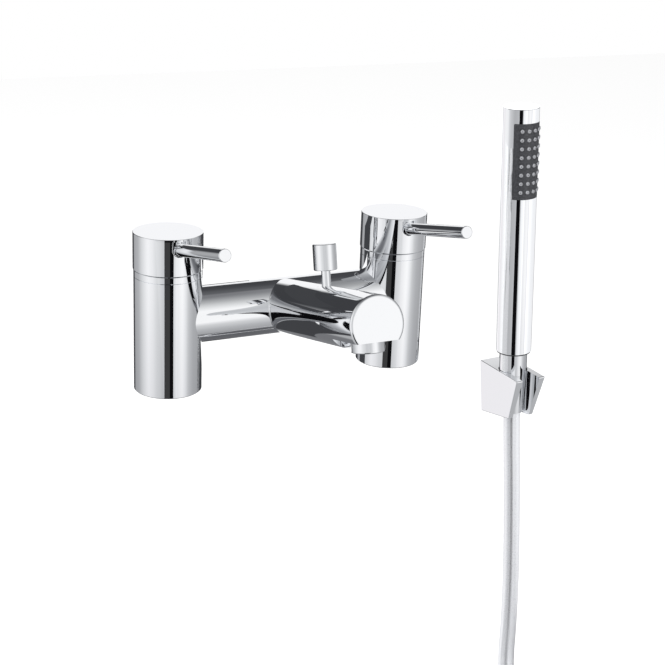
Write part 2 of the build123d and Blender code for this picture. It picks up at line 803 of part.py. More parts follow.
with BuildPart() as handset_tube:
    with BuildSketch(holder_axis.offset(handset_base)):
        Circle(handset_radius)
        Circle(tube_bore_radius, mode=Mode.SUBTRACT)
    extrude(amount=handset_tube_top - handset_base)
    rims = handset_tube.edges().filter_by(GeomType.CIRCLE).sort_by(Axis.Z)[0:2]
    chamfer(rims.sort_by(SortBy.RADIUS)[-1], length=handset_edge)
    with BuildSketch(holder_axis.offset(spray_base)):
        Polygon(*sector(spray_half_angle), align=None)
    extrude(amount=spray_top - spray_base, mode=Mode.SUBTRACT)
    corners = [
        edge
        for edge in handset_tube.edges().filter_by(GeomType.LINE)
        if abs(edge.length - handset_wall) < thread_gap
    ]
    fillet(corners, radius=spray_corner)
handset_tube.part.label = "handset_tube"
export_step(handset_tube.part, "parts/handset_tube.step")

with BuildPart() as handset_cap:
    turned(
        holder_axis,
        [
            (handset_radius, handset_tube_top, handset_top),
            (plug_radius, handset_tube_top - handset_cap_plug, handset_tube_top),
        ],
    )
    chamfer(handset_cap.edges().filter_by(GeomType.CIRCLE).sort_by(Axis.Z)[-1], length=handset_edge)
handset_cap.part.label = "handset_cap"
export_step(handset_cap.part, "parts/handset_cap.step")

with BuildPart() as spray_face:
    with BuildSketch(holder_axis.offset(spray_base + spray_fit_gap)):
        Circle(face_radius)
        Circle(mat_radius + thread_gap, mode=Mode.SUBTRACT)
        Polygon(*sector(face_half_angle), align=None, mode=Mode.INTERSECT)
    extrude(amount=spray_top - spray_base - 2 * spray_fit_gap)
    face_wall = face_radius - mat_radius - thread_gap
    corners = [
        edge
        for edge in spray_face.edges().filter_by(GeomType.LINE)
        if abs(edge.length - face_wall) < thread_gap
    ]
    fillet(corners, radius=spray_corner)
    nozzle_hole = [(nozzle_radius + thread_gap, mat_radius - overrun, handset_radius + overrun)]
    for plane in nozzle_planes():
        turned(plane, nozzle_hole, Mode.SUBTRACT)
spray_face.part.label = "spray_face"
export_step(spray_face.part, "parts/spray_face.step")

with BuildPart() as nozzle_mat:
    with BuildSketch(holder_axis.offset(spray_base + spray_corner)):
        Circle(mat_radius)
        Circle(core_radius + thread_gap, mode=Mode.SUBTRACT)
        Polygon(*sector(face_half_angle), align=None, mode=Mode.INTERSECT)
    extrude(amount=spray_top - spray_base - 2 * spray_corner)
    nozzle_tip = handset_radius + nozzle_stand
    nozzle_root = core_radius + nozzle_mat_thickness / 2
    for plane in nozzle_planes():
        turned(plane, [(nozzle_radius, nozzle_root, nozzle_tip - nozzle_tip_chamfer)])
        with BuildSketch(plane.offset(nozzle_tip - nozzle_tip_chamfer)) as tip:
            Circle(nozzle_radius)
        extrude(tip.sketch, amount=nozzle_tip_chamfer, taper=45)
nozzle_mat.part.label = "nozzle_mat"
export_step(nozzle_mat.part, "parts/nozzle_mat.step")

with BuildPart() as handset_core:
    turned(holder_axis, [(core_radius, core_base, core_top)])
    turned(holder_axis, [(core_bore_radius, core_base, core_top)], Mode.SUBTRACT)
    slot_plane = list(nozzle_planes())[nozzle_columns // 2]
    slot_origin = holder_axis.from_local_coords((0, 0, spray_height))
    slot_facing = Plane(origin=slot_origin, x_dir=holder_axis.z_dir, z_dir=slot_plane.z_dir)
    with BuildSketch(slot_facing) as slot:
        SlotOverall((nozzle_rows - 1) * nozzle_pitch, 2 * waterway_radius)
    extrude(slot.sketch, amount=handset_radius, mode=Mode.SUBTRACT)
handset_core.part.label = "handset_core"
export_step(handset_core.part, "parts/handset_core.step")

# Cone nut, ferrule and washer that join the hose to the handset
cone_nut_top = handset_base - gap_ring_height
thread_floor = cone_nut_top - cone_nut_thread_depth
cone_foot_radius = cone_nut_radius - (cone_nut_depth - seat_lead_depth) * tan(radians(seat_taper))
flange_top = thread_floor + ferrule_flange_height
tail_foot = flange_top + hose_washer_height
hose_hole_radius = hose_radius + hose_exit_clearance
ferrule_bore_radius = hose_radius + thread_gap
ferrule_radius = ferrule_bore_radius + ferrule_wall
hose_start = flange_top - ferrule_lip

with BuildPart() as handset_tail:
    turned(
        holder_axis,
        [
            (plug_radius, handset_base, handset_base + tail_plug_length),
            (tail_thread_radius, tail_foot, handset_base),
        ],
    )
    turned(holder_axis, [(tail_bore_radius, tail_foot, handset_base + tail_plug_length)], Mode.SUBTRACT)
handset_tail.part.label = "handset_tail"
export_step(handset_tail.part, "parts/handset_tail.step")

with BuildPart() as gap_ring:
    turned(holder_axis, [(gap_ring_radius, cone_nut_top, handset_base)])
    turned(holder_axis, [(tail_thread_radius + thread_gap, cone_nut_top, handset_base)], Mode.SUBTRACT)
gap_ring.part.label = "gap_ring"
export_step(gap_ring.part, "parts/gap_ring.step")

with BuildPart() as cone_nut:
    with BuildSketch(holder_side_plane):
        with BuildLine():
            Polyline(
                (tail_thread_radius + thread_gap, cone_nut_top),
                (cone_nut_radius - cone_nut_edge, cone_nut_top),
                (cone_nut_radius, cone_nut_top - cone_nut_edge),
                (cone_nut_radius, -seat_lead_depth),
                (cone_foot_radius, -cone_nut_depth),
                (hose_hole_radius, -cone_nut_depth),
                (hose_hole_radius, -cone_nut_depth + cone_nut_lip),
                (cone_nut_cavity_radius, -cone_nut_depth + cone_nut_lip),
                (cone_nut_cavity_radius, thread_floor),
                (tail_thread_radius + thread_gap, thread_floor),
                close=True,
            )
        make_face()
    revolve(axis=Axis(holder_axis.origin, holder_axis.z_dir))
cone_nut.part.label = "cone_nut"
export_step(cone_nut.part, "parts/cone_nut.step")

with BuildPart() as hose_washer:
    turned(holder_axis, [(hose_washer_radius, flange_top, tail_foot)])
    turned(holder_axis, [(hose_washer_bore_radius, flange_top, tail_foot)], Mode.SUBTRACT)
hose_washer.part.label = "hose_washer"
export_step(hose_washer.part, "parts/hose_washer.step")

with BuildPart() as hose_ferrule:
    turned(
        holder_axis,
        [
            (ferrule_flange_radius, thread_floor, flange_top),
            (ferrule_radius, thread_floor - ferrule_length, thread_floor),
        ],
    )
    turned(
        holder_axis,
        [
            (hose_washer_bore_radius, hose_start, flange_top),
            (ferrule_bore_radius, thread_floor - ferrule_length, hose_start),
        ],
        Mode.SUBTRACT,
    )
hose_ferrule.part.label = "hose_ferrule"
export_step(hose_ferrule.part, "parts/hose_ferrule.step")

# Hose: it drops from the cone nut, swings forward and lies in a neat coil
hose_diameter = 2 * hose_radius
coil_pitch = hose_diameter + coil_gap
coil_slope = atan2(coil_pitch, 2 * pi * coil_radius)
hose_rest = floor_height + hose_radius + coil_dip
coil_top = hose_rest + coil_turns * coil_pitch
forward = Vector(0, -cos(coil_slope), -sin(coil_slope))
coil_start = Vector(hose_hang_x, hose_landing_y, coil_top)
coil_centre = coil_start - Vector(coil_radius, 0, 0)
drop_end = coil_start - forward * hose_diameter

# The route of the drop, chosen by hand from the photograph and the coil's place
bends = [drop_end - forward * bend_run]
for angle in bend_angles:
    bends.append(bends[-1] + Vector(0, sin(radians(angle)), cos(radians(angle))) * bend_run)
hose_route = [
    Vector(*holder_axis.from_local_coords((0, 0, hose_start))),
    Vector(*holder_axis.from_local_coords((0, 0, hose_start - hose_first_run))),
    Vector(hose_lean_x, holder_y, hose_lean_z),
    Vector(hose_hang_x, holder_y, hose_hang_z),
    *reversed(bends),
    drop_end,
]


def corner_radii(route):
    """The largest arc that each corner's two runs allow."""
    radii = []
    for before, corner, after in zip(route, route[1:], route[2:]):
        turn = (corner - before).get_angle(after - corner)
        shorter = min((corner - before).length, (after - corner).length)
        radii.append(arc_share * shorter / tan(radians(turn / 2)))
    return radii


def biarc(start, start_dir, end, end_dir):
    """Two arcs from start to end, tangent to both directions and to each other."""
    chord = end - start
    both = start_dir + end_dir
    spare = 4 - both.dot(both)
    along = chord.dot(both)
    reach = chord.dot(chord) / (2 * along)
    if spare > 1e-9:
        reach = (-along + sqrt(along * along + spare * chord.dot(chord))) / spare
    first_corner = start + start_dir * reach
    second_corner = end - end_dir * reach
    joint = (first_corner + second_corner) / 2
    TangentArc(start, joint, tangent=start_dir)
    TangentArc(joint, end, tangent=(second_corner - first_corner).normalized())


def coil_point(turn):
    """A point of the coil's centreline, that many turns from its top."""
    angle = -2 * pi * turn
    offset = Vector(coil_radius * cos(angle), coil_radius * sin(angle), -coil_pitch * turn)
    return coil_centre + offset


def coil_direction(turn):
    """The direction in which the hose runs there."""
    angle = -2 * pi * turn
    level = Vector(sin(angle), -cos(angle), 0) * cos(coil_slope)
    return level - Vector(0, 0, sin(coil_slope))


radii = corner_radii(hose_route)
with BuildPart() as hose_drop:
    with BuildLine() as drop_line:
        FilletPolyline(*hose_route, radius=radii)
    with BuildSketch(Plane(origin=hose_route[0], z_dir=hose_route[1] - hose_route[0])):
        Circle(hose_radius)
    sweep()
hose_drop.part.label = "hose_drop"
export_step(hose_drop.part, "parts/hose_drop.step")

coil_end = coil_point(coil_turns)
nut_rest = floor_height + hex_nut_across_flats / 2
level_start = Vector(coil_end.X, coil_end.Y - coil_tail_run, nut_rest)
hose_end = level_start - Vector(0, coil_end_run, 0)
quarters = int(4 * coil_turns)
with BuildPart() as hose_coil:
    with BuildLine() as coil_line:
        Line(drop_end, coil_start)
        for quarter in range(quarters):
            start_turn = quarter / 4
            end_turn = (quarter + 1) / 4
            biarc(
                coil_point(start_turn),
                coil_direction(start_turn),
                coil_point(end_turn),
                coil_direction(end_turn),
            )
        biarc(coil_end, coil_direction(coil_turns), level_start, Vector(0, -1, 0))
        Line(level_start, hose_end)
    with BuildSketch(Plane(origin=drop_end, z_dir=forward)):
        Circle(hose_radius)
    sweep()
hose_coil.part.label = "hose_coil"
export_step(hose_coil.part, "parts/hose_coil.step")

# Ferrule, hex nut and washer on the free end of the hose
end_axis = Plane(origin=hose_end, x_dir=(1, 0, 0), z_dir=(0, -1, 0))
end_flange_base = ferrule_lip - ferrule_flange_height
end_washer_front = ferrule_lip + hose_washer_height
hex_nut_back = end_flange_base - hex_nut_wall
hex_nut_front = hex_nut_back + hex_nut_length - hex_nut_collar_length

with BuildPart() as end_ferrule:
    turned(
        end_axis,
        [
            (ferrule_flange_radius, end_flange_base, ferrule_lip),
            (ferrule_radius, ferrule_lip - ferrule_length, end_flange_base),
        ],
    )
    turned(
        end_axis,
        [
            (hose_washer_bore_radius, 0, ferrule_lip),
            (ferrule_bore_radius, ferrule_lip - ferrule_length, 0),
        ],
        Mode.SUBTRACT,
    )
end_ferrule.part.label = "end_ferrule"
export_step(end_ferrule.part, "parts/end_ferrule.step")

with BuildPart() as end_washer:
    turned(end_axis, [(hose_washer_radius, ferrule_lip, ferrule_lip + hose_washer_height)])
    turned(
        end_axis,
        [(hose_washer_bore_radius, ferrule_lip, ferrule_lip + hose_washer_height)],
        Mode.SUBTRACT,
    )
end_washer.part.label = "end_washer"
export_step(end_washer.part, "parts/end_washer.step")

with BuildPart() as hex_nut:
    with BuildSketch(end_axis.offset(hex_nut_back)):
        RegularPolygon(hex_nut_across_flats / 2, 6, major_radius=False)
    extrude(amount=hex_nut_front - hex_nut_back)
    turned(end_axis, [(hex_nut_collar_radius, hex_nut_back - hex_nut_collar_length, hex_nut_back)])
    turned(
        end_axis,
        [
            (cone_nut_cavity_radius, hex_nut_back - hex_nut_collar_length, end_flange_base),
            (hex_nut_relief_radius, end_flange_base, end_washer_front),
            (tail_thread_radius + thread_gap, end_washer_front, hex_nut_front),
        ],
        Mode.SUBTRACT,
    )
hex_nut.part.label = "hex_nut"
export_step(hex_nut.part, "parts/hex_nut.step")

# Figures of the hose: its length, its bends and the least gap between its turns
drop_length = drop_line.wires()[0].length
coil_length = coil_line.wires()[0].length
print("route:", [tuple(round(value, 3) for value in point) for point in hose_route])
print("corner radii of the drop:", [round(radius, 1) for radius in radii])
print("drop", round(drop_length, 1), "coil", round(coil_length, 1))
print("hose length", round(drop_length + coil_length, 1), "of", hose_length)
samples = 240
points = [coil_point(coil_turns * step / samples) for step in range(samples + 1)]
half_turn = round(samples / coil_turns / 2)
gaps = [
    (points[first] - points[second]).length - hose_diameter
    for first in range(samples + 1)
    for second in range(first + half_turn, samples + 1)
]
print("least gap between the turns:", round(min(gaps), 2))
section = pi * hose_radius * hose_radius
print("drop volume over section times length:", round(hose_drop.part.volume / section / drop_length, 4))
print("coil volume over section times length:", round(hose_coil.part.volume / section / coil_length, 4))
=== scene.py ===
"""Looks of a two-handle bath shower mixer with its stick handset, hose and wall holder.

Metres, +Z up, the spout points along -Y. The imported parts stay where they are. This script dresses
them, adds the pieces that need a finer mesh, and sets the camera, the lights and the studio.
"""

import json
import logging
from dataclasses import dataclass
from enum import Enum
from math import cos, pi, radians, sin
from typing import Iterable, Optional, Sequence

import bmesh
import bpy
from mathutils import Matrix, Vector

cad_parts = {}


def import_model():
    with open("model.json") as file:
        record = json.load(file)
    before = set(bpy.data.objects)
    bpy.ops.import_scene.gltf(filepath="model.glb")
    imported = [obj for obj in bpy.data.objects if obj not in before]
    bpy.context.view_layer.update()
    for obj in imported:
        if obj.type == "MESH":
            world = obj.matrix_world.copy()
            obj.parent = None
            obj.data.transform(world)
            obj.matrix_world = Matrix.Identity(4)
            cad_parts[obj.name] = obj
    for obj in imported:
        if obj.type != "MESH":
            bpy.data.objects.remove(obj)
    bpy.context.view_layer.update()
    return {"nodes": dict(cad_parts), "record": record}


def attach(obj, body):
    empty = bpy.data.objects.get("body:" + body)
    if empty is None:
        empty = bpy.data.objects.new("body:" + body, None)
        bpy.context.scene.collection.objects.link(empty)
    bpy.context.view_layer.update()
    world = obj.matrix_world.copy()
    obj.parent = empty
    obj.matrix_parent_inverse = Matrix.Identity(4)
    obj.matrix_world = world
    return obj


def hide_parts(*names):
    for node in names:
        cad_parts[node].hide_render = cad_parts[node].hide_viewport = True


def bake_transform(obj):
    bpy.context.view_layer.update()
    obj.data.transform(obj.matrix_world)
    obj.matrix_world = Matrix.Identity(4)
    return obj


log = logging.getLogger("mixer")
MM = 0.001
# Edges that turn more than this stay crisp.
CRISP_TURN = radians(28)
# The largest angle of a ramp over the height of the room, and of one round it.
LEVEL_SPAN = 90.0
TURN_SPAN = 180.0
Point = tuple[float, float, float]


class Side(Enum):
    """The two ends of the bridge, by the word in the names of their pieces."""

    HOT = "hot"
    COLD = "cold"


# Colour and node helpers


def linear(hex_colour: str) -> tuple[float, float, float, float]:
    """Turn an sRGB hex colour to the linear values that the shaders take.

    Args:
        hex_colour: Six hex digits.

    Returns:
        Red, green, blue and an alpha of 1.
    """
    shares = [int(hex_colour[i : i + 2], 16) / 255 for i in (0, 2, 4)]
    parts = [c / 12.92 if c <= 0.04045 else ((c + 0.055) / 1.055) ** 2.4 for c in shares]
    return (parts[0], parts[1], parts[2], 1.0)


def add_node(
    tree: bpy.types.NodeTree,
    kind: str,
    settings: Optional[dict] = None,
    inputs: Optional[dict] = None,
) -> bpy.types.Node:
    """Add a node with its settings, values and links.

    Args:
        tree: The tree that the node goes into.
        kind: The node's type name.
        settings: Attributes of the node.
        inputs: Values or output sockets, by the input's name or number.

    Returns:
        The new node.
    """
    node = tree.nodes.new(kind)
    for name, value in (settings or {}).items():
        setattr(node, name, value)
    for name, value in (inputs or {}).items():
        if isinstance(value, bpy.types.NodeSocket):
            tree.links.new(value, node.inputs[name])
        else:
            node.inputs[name].default_value = value
    return node


def set_ramp(node: bpy.types.Node, stops: Sequence[tuple[float, str]]) -> None:
    """Give a colour ramp its stops.

    Args:
        node: The ramp's node.
        stops: Position and sRGB hex colour of each stop, in rising order.
    """
    elements = node.color_ramp.elements
    while len(elements) > 1:
        elements.remove(elements[-1])
    elements[0].position, elements[0].color = stops[0][0], linear(stops[0][1])
    for position, colour in stops[1:]:
        elements.new(position).color = linear(colour)


# Finishes. Each is one real material and process.


@dataclass(frozen=True)
class Finish:
    name: str
    colour: str
    roughness: float
    metallic: float = 0.0
    ior: float = 1.5

    def material(self) -> bpy.types.Material:
        """Build the material, or return it if it exists.

        Returns:
            The node material of this finish.
        """
        found = bpy.data.materials.get(self.name)
        if found:
            return found
        made = bpy.data.materials.new(self.name)
        made.use_nodes = True
        tree = made.node_tree
        tree.nodes.clear()
        place = add_node(tree, "ShaderNodeTexCoord")
        shader = add_node(
            tree,
            "ShaderNodeBsdfPrincipled",
            inputs={
                "Base Color": linear(self.colour),
                "Metallic": self.metallic,
                "Roughness": self.roughness,
            },
        )
        if not self.metallic:
            shader.inputs["IOR"].default_value = self.ior
        self.detail(tree, place, shader)
        out = add_node(tree, "ShaderNodeOutputMaterial")
        tree.links.new(shader.outputs["BSDF"], out.inputs["Surface"])
        return made

    def detail(self, tree: bpy.types.NodeTree, place: bpy.types.Node, shader: bpy.types.Node) -> None:
        """Add the pattern of this finish. The plain finish has none."""

    def noise(
        self, tree: bpy.types.NodeTree, place: bpy.types.Node, size_mm: float, detail: float = 2.0
    ) -> bpy.types.Node:
        """Add an even noise over the object.

        Args:
            tree: The material's tree.
            place: The Texture Coordinate node.
            size_mm: The size of the noise's grain in millimetres.
            detail: How many finer layers the noise has.

        Returns:
            The noise node.
        """
        return add_node(
            tree,
            "ShaderNodeTexNoise",
            inputs={"Vector": place.outputs["Object"], "Scale": 1 / (size_mm * MM), "Detail": detail},
        )

    def bump(
        self,
        tree: bpy.types.NodeTree,
        height: bpy.types.NodeSocket,
        depth_mm: float,
        shader: bpy.types.Node,
    ) -> None:
        """Run a height through a Bump node to the shader.

        Args:
            tree: The material's tree.
            height: The socket that gives the height from 0 to 1.
            depth_mm: The height's real depth in millimetres.
            shader: The shader that takes the normal.
        """
        node = add_node(
            tree,
            "ShaderNodeBump",
            inputs={"Strength": 1.0, "Distance": depth_mm * MM, "Height": height},
        )
        tree.links.new(node.outputs["Normal"], shader.inputs["Normal"])

    def vary(
        self,
        tree: bpy.types.NodeTree,
        factor: bpy.types.NodeSocket,
        low: float,
        high: float,
        shader: bpy.types.Node,
        socket: str = "Roughness",
    ) -> None:
        """Vary a number of the shader between two values.

        Args:
            tree: The material's tree.
            factor: The socket that varies from 0 to 1.
            low: The value at 0.
            high: The value at 1.
            shader: The shader.
            socket: The shader's input.
        """
        spread = add_node(
            tree,
            "ShaderNodeMapRange",
            inputs={"Value": factor, "To Min": low, "To Max": high},
        )
        tree.links.new(spread.outputs["Result"], shader.inputs[socket])


@dataclass(frozen=True)
class ChromePlate(Finish):
    """Bright nickel and chrome plated on polished brass: a mirror with a faint polishing wave."""

    wave_mm: float = 22.0
    wave_depth_mm: float = 0.012
    haze_mm: float = 4.0

    def detail(self, tree: bpy.types.NodeTree, place: bpy.types.Node, shader: bpy.types.Node) -> None:
        """Add the slow wave that the polishing wheel leaves, and a trace of haze.

        Args:
            tree: The material's tree.
            place: The Texture Coordinate node.
            shader: The Principled node.
        """
        wave = self.noise(tree, place, self.wave_mm, 1.0)
        haze = self.noise(tree, place, self.haze_mm)
        self.vary(tree, haze.outputs["Fac"], self.roughness * 0.6, self.roughness * 1.4, shader)
        self.bump(tree, wave.outputs["Fac"], self.wave_depth_mm, shader)


@dataclass(frozen=True)
class TurnedBrass(Finish):
    """Brass turned on a lathe: a satin metal with fine rings, warm beside the chrome."""

    # Real tool marks are 0.05 to 0.1 mm apart; these are coarser, so that they show.
    ring_mm: float = 0.35
    ring_depth_mm: float = 0.01

    def detail(self, tree: bpy.types.NodeTree, place: bpy.types.Node, shader: bpy.types.Node) -> None:
        """Add tool rings along Z.

        Args:
            tree: The material's tree.
            place: The Texture Coordinate node.
            shader: The Principled node.
        """
        scale = 1 / (self.ring_mm * MM * 2 * pi)
        rings = add_node(
            tree,
            "ShaderNodeTexWave",
            {"bands_direction": "Z"},
            {"Vector": place.outputs["Object"], "Scale": scale, "Distortion": 0.4},
        )
        self.vary(tree, rings.outputs["Fac"], self.roughness * 0.8, self.roughness * 1.25, shader)
        self.bump(tree, rings.outputs["Fac"], self.ring_depth_mm, shader)


@dataclass(frozen=True)
class Moulded(Finish):
    """Injection moulded plastic or rubber: an even colour with the fine texture of its mould."""

    # Spark-eroded grain is about 0.1 mm wide; here it is coarser, so that it shows.
    grain_mm: float = 0.6
    grain_depth_mm: float = 0.02
    cloud_mm: float = 9.0
    speck: str = "000000"
    speck_share: float = 0.04

    def detail(self, tree: bpy.types.NodeTree, place: bpy.types.Node, shader: bpy.types.Node) -> None:
        """Add spark-eroded grain and a slight mottling of the colour.

        Args:
            tree: The material's tree.
            place: The Texture Coordinate node.
            shader: The Principled node.
        """
        grain = self.noise(tree, place, self.grain_mm)
        cloud = self.noise(tree, place, self.cloud_mm)
        spread = add_node(
            tree,
            "ShaderNodeMapRange",
            inputs={"Value": cloud.outputs["Fac"], "To Min": 0.0, "To Max": self.speck_share},
        )
        tint = add_node(
            tree,
            "ShaderNodeMix",
            {"data_type": "RGBA"},
            {0: spread.outputs["Result"], 6: linear(self.colour), 7: linear(self.speck)},
        )
        tree.links.new(tint.outputs[2], shader.inputs["Base Color"])
        self.vary(tree, grain.outputs["Fac"], self.roughness * 0.85, self.roughness * 1.15, shader)
        self.bump(tree, grain.outputs["Fac"], self.grain_depth_mm, shader)


@dataclass(frozen=True)
class HoseJacket(Finish):
    """Silver pigmented vinyl over a spiral reinforcement: smooth, glossy, with the spiral just felt."""

    pitch_mm: float = 3.2
    ridge_mm: float = 0.035
    flake_mm: float = 0.5
    coat: float = 0.6
    coat_roughness: float = 0.06

    def detail(self, tree: bpy.types.NodeTree, place: bpy.types.Node, shader: bpy.types.Node) -> None:
        """Add the spiral, which follows the hose's own UV map in millimetres along and turns around.

        Args:
            tree: The material's tree.
            place: The Texture Coordinate node.
            shader: The Principled node.
        """
        shader.inputs["Coat Weight"].default_value = self.coat
        shader.inputs["Coat Roughness"].default_value = self.coat_roughness
        apart = add_node(tree, "ShaderNodeSeparateXYZ", inputs={"Vector": place.outputs["UV"]})
        turns = add_node(
            tree,
            "ShaderNodeMath",
            {"operation": "DIVIDE"},
            {0: apart.outputs["X"], 1: self.pitch_mm},
        )
        spiral = add_node(
            tree, "ShaderNodeMath", {"operation": "ADD"}, {0: turns.outputs[0], 1: apart.outputs["Y"]}
        )
        angle = add_node(
            tree, "ShaderNodeMath", {"operation": "MULTIPLY"}, {0: spiral.outputs[0], 1: 2 * pi}
        )
        ridge = add_node(tree, "ShaderNodeMath", {"operation": "SINE"}, {0: angle.outputs[0]})
        height = add_node(
            tree,
            "ShaderNodeMapRange",
            inputs={"Value": ridge.outputs[0], "From Min": -1.0, "From Max": 1.0},
        )
        flake = self.noise(tree, place, self.flake_mm)
        self.vary(tree, flake.outputs["Fac"], self.roughness * 0.85, self.roughness * 1.2, shader)
        self.bump(tree, height.outputs["Result"], self.ridge_mm, shader)


# Nickel and chrome on polished brass: a clean mirror, a trace colder than silver.
CHROME = ChromePlate("chrome_plate_polished", "f2f3f5", 0.03, 1.0)
# Bare brass from the lathe: warm yellow and satin.
BRASS = TurnedBrass("turned_brass", "c9a15a", 0.3, 1.0)
# Stainless steel, turned or drawn: greyer and duller than the chrome.
STAINLESS = TurnedBrass("turned_stainless_steel", "b4b6b8", 0.28, 1.0)
# Alumina lapped flat: dense and cream white, with an even half gloss.
CERAMIC = Moulded("lapped_alumina_ceramic", "ece8dd", 0.22, ior=1.76, grain_mm=0.3, grain_depth_mm=0.003)
# Rubber from a matt tool: nearly black, with no clear highlight.
RUBBER = Moulded("moulded_black_rubber", "202021", 0.55, ior=1.52)
# Acetal, moulded: white and waxy.
ACETAL = Moulded("moulded_white_acetal", "e6e5e1", 0.4, ior=1.48)
# ABS from a textured tool: dark grey and mottled, coarser than the real texture, so that it shows.
SPRAY_PLASTIC = Moulded(
    "moulded_dark_grey_abs",
    "4a4b50",
    0.38,
    ior=1.54,
    grain_mm=0.9,
    grain_depth_mm=0.05,
    cloud_mm=1.3,
    speck_share=1.0,
)
# Silicone, moulded: a pale grey with a soft gloss, so that each nozzle catches the light.
SILICONE = Moulded("moulded_grey_silicone", "9a9b9f", 0.3, ior=1.41, grain_mm=0.8)
# ABS, moulded black: a dull black without a colour.
BLACK_PLASTIC = Moulded("moulded_black_abs", "151516", 0.42, ior=1.54)
# Extruded vinyl with silver pigment under a clear skin: a wide soft highlight along the hose.
HOSE_VINYL = HoseJacket("silver_vinyl_hose_jacket", "eaebee", 0.28, 0.8)


# Geometry Nodes and mesh helpers


class Recipe:
    """A Geometry Nodes tree with named inputs, which is baked to a plain mesh."""

    def __init__(self, name: str) -> None:
        """Start an empty tree.

        Args:
            name: The tree's name.
        """
        self.name = name
        self.tree = bpy.data.node_groups.new(name, "GeometryNodeTree")
        self.tree.interface.new_socket("Geometry", in_out="OUTPUT", socket_type="NodeSocketGeometry")
        self.source = self.tree.nodes.new("NodeGroupInput")
        self.given: dict[str, object] = {}

    def take(self, label: str, kind: str, value: object) -> bpy.types.NodeSocket:
        """Give the tree a named input.

        Args:
            label: The input's name.
            kind: The end of its socket's type name, such as Float.
            value: The value that the modifier gets.

        Returns:
            The input's socket inside the tree.
        """
        socket = self.tree.interface.new_socket(label, in_out="INPUT", socket_type="NodeSocket" + kind)
        self.given[socket.identifier] = value
        return self.source.outputs[label]

    def math(self, operation: str, first: object, second: object = 0.0) -> bpy.types.NodeSocket:
        """Add one step of arithmetic.

        Args:
            operation: The Math node's operation.
            first: Its first value or socket.
            second: Its second value or socket.

        Returns:
            The result's socket.
        """
        node = add_node(self.tree, "ShaderNodeMath", {"operation": operation}, {0: first, 1: second})
        return node.outputs[0]

    def solid(self, label: str, piece: bpy.types.Object) -> bpy.types.NodeSocket:
        """Bring an object's mesh in through a named input.

        Args:
            label: The input's name.
            piece: The object.

        Returns:
            The geometry's socket.
        """
        info = add_node(
            self.tree, "GeometryNodeObjectInfo", inputs={"Object": self.take(label, "Object", piece)}
        )
        return info.outputs["Geometry"]

    def scatter(
        self, count: object, place: bpy.types.NodeSocket, outward: object, piece: bpy.types.NodeSocket
    ) -> bpy.types.NodeSocket:
        """Put a copy of a piece at each counted point.

        Args:
            count: How many points there are.
            place: The position field.
            outward: The direction that the piece's Z axis takes, or nothing.
            piece: The geometry to copy.

        Returns:
            The socket with the instances.
        """
        line = add_node(self.tree, "GeometryNodeMeshLine", inputs={"Count": count})
        moved = add_node(
            self.tree,
            "GeometryNodeSetPosition",
            inputs={"Geometry": line.outputs[0], "Position": place},
        )
        copies = add_node(
            self.tree,
            "GeometryNodeInstanceOnPoints",
            inputs={"Points": moved.outputs[0], "Instance": piece},
        )
        if outward is not None:
            turn = add_node(
                self.tree,
                "FunctionNodeAlignRotationToVector",
                {"axis": "Z"},
                {"Vector": outward},
            )
            self.tree.links.new(turn.outputs[0], copies.inputs["Rotation"])
        return copies.outputs[0]

    def bake(self, shapes: Sequence[bpy.types.NodeSocket], finish: Finish, place: Matrix) -> bpy.types.Mesh:
        """Join the shapes, end the tree and turn its result into a mesh.

        Args:
            shapes: The geometry sockets to join.
            finish: The finish of all of them.
            place: Where the mesh goes in the row's frame.

        Returns:
            The mesh, with its place in it.
        """
        joined = self.tree.nodes.new("GeometryNodeJoinGeometry")
        for shape in shapes:
            self.tree.links.new(shape, joined.inputs[0])
        real = add_node(self.tree, "GeometryNodeRealizeInstances", inputs={"Geometry": joined.outputs[0]})
        material = self.take("Finish", "Material", finish.material())
        dressed = add_node(
            self.tree,
            "GeometryNodeSetMaterial",
            inputs={"Geometry": real.outputs[0], "Material": material},
        )
        add_node(self.tree, "NodeGroupOutput", inputs={0: dressed.outputs[0]})
        host = bpy.data.objects.new(self.name, bpy.data.meshes.new(self.name))
        bpy.context.scene.collection.objects.link(host)
        modifier = host.modifiers.new(self.name, "NODES")
        modifier.node_group = self.tree
        for identifier, value in self.given.items():
            modifier[identifier] = value
        mesh = bpy.data.meshes.new_from_object(host.evaluated_get(bpy.context.evaluated_depsgraph_get()))
        host.modifiers.clear()
        bpy.data.objects.remove(host)
        mesh.transform(place)
        return mesh


def lathe(name: str, outline: Sequence[tuple[float, float]], around: int, closed: bool) -> bpy.types.Object:
    """Turn an outline about Z, as a helper object for a recipe.

    Args:
        name: The helper's name.
        outline: Radius and height of each point in millimetres; a radius of zero is a pole.
        around: How many faces go round.
        closed: Whether the outline comes back to its first point.

    Returns:
        The helper object.
    """
    bm = bmesh.new()
    rings = []
    for radius, height in outline:
        if radius == 0:
            rings.append([bm.verts.new((0, 0, height * MM))] * around)
            continue
        ring = []
        for number in range(around):
            turn = 2 * pi * number / around
            ring.append(bm.verts.new((radius * MM * cos(turn), radius * MM * sin(turn), height * MM)))
        rings.append(ring)
    pairs = list(zip(rings, rings[1:]))
    if closed:
        pairs.append((rings[-1], rings[0]))
    for low, high in pairs:
        for number in range(around):
            after = (number + 1) % around
            corners = [low[number], low[after], high[after], high[number]]
            bm.faces.new(list(dict.fromkeys(corners)))
    bmesh.ops.recalc_face_normals(bm, faces=bm.faces)
    return helper(name, bm)


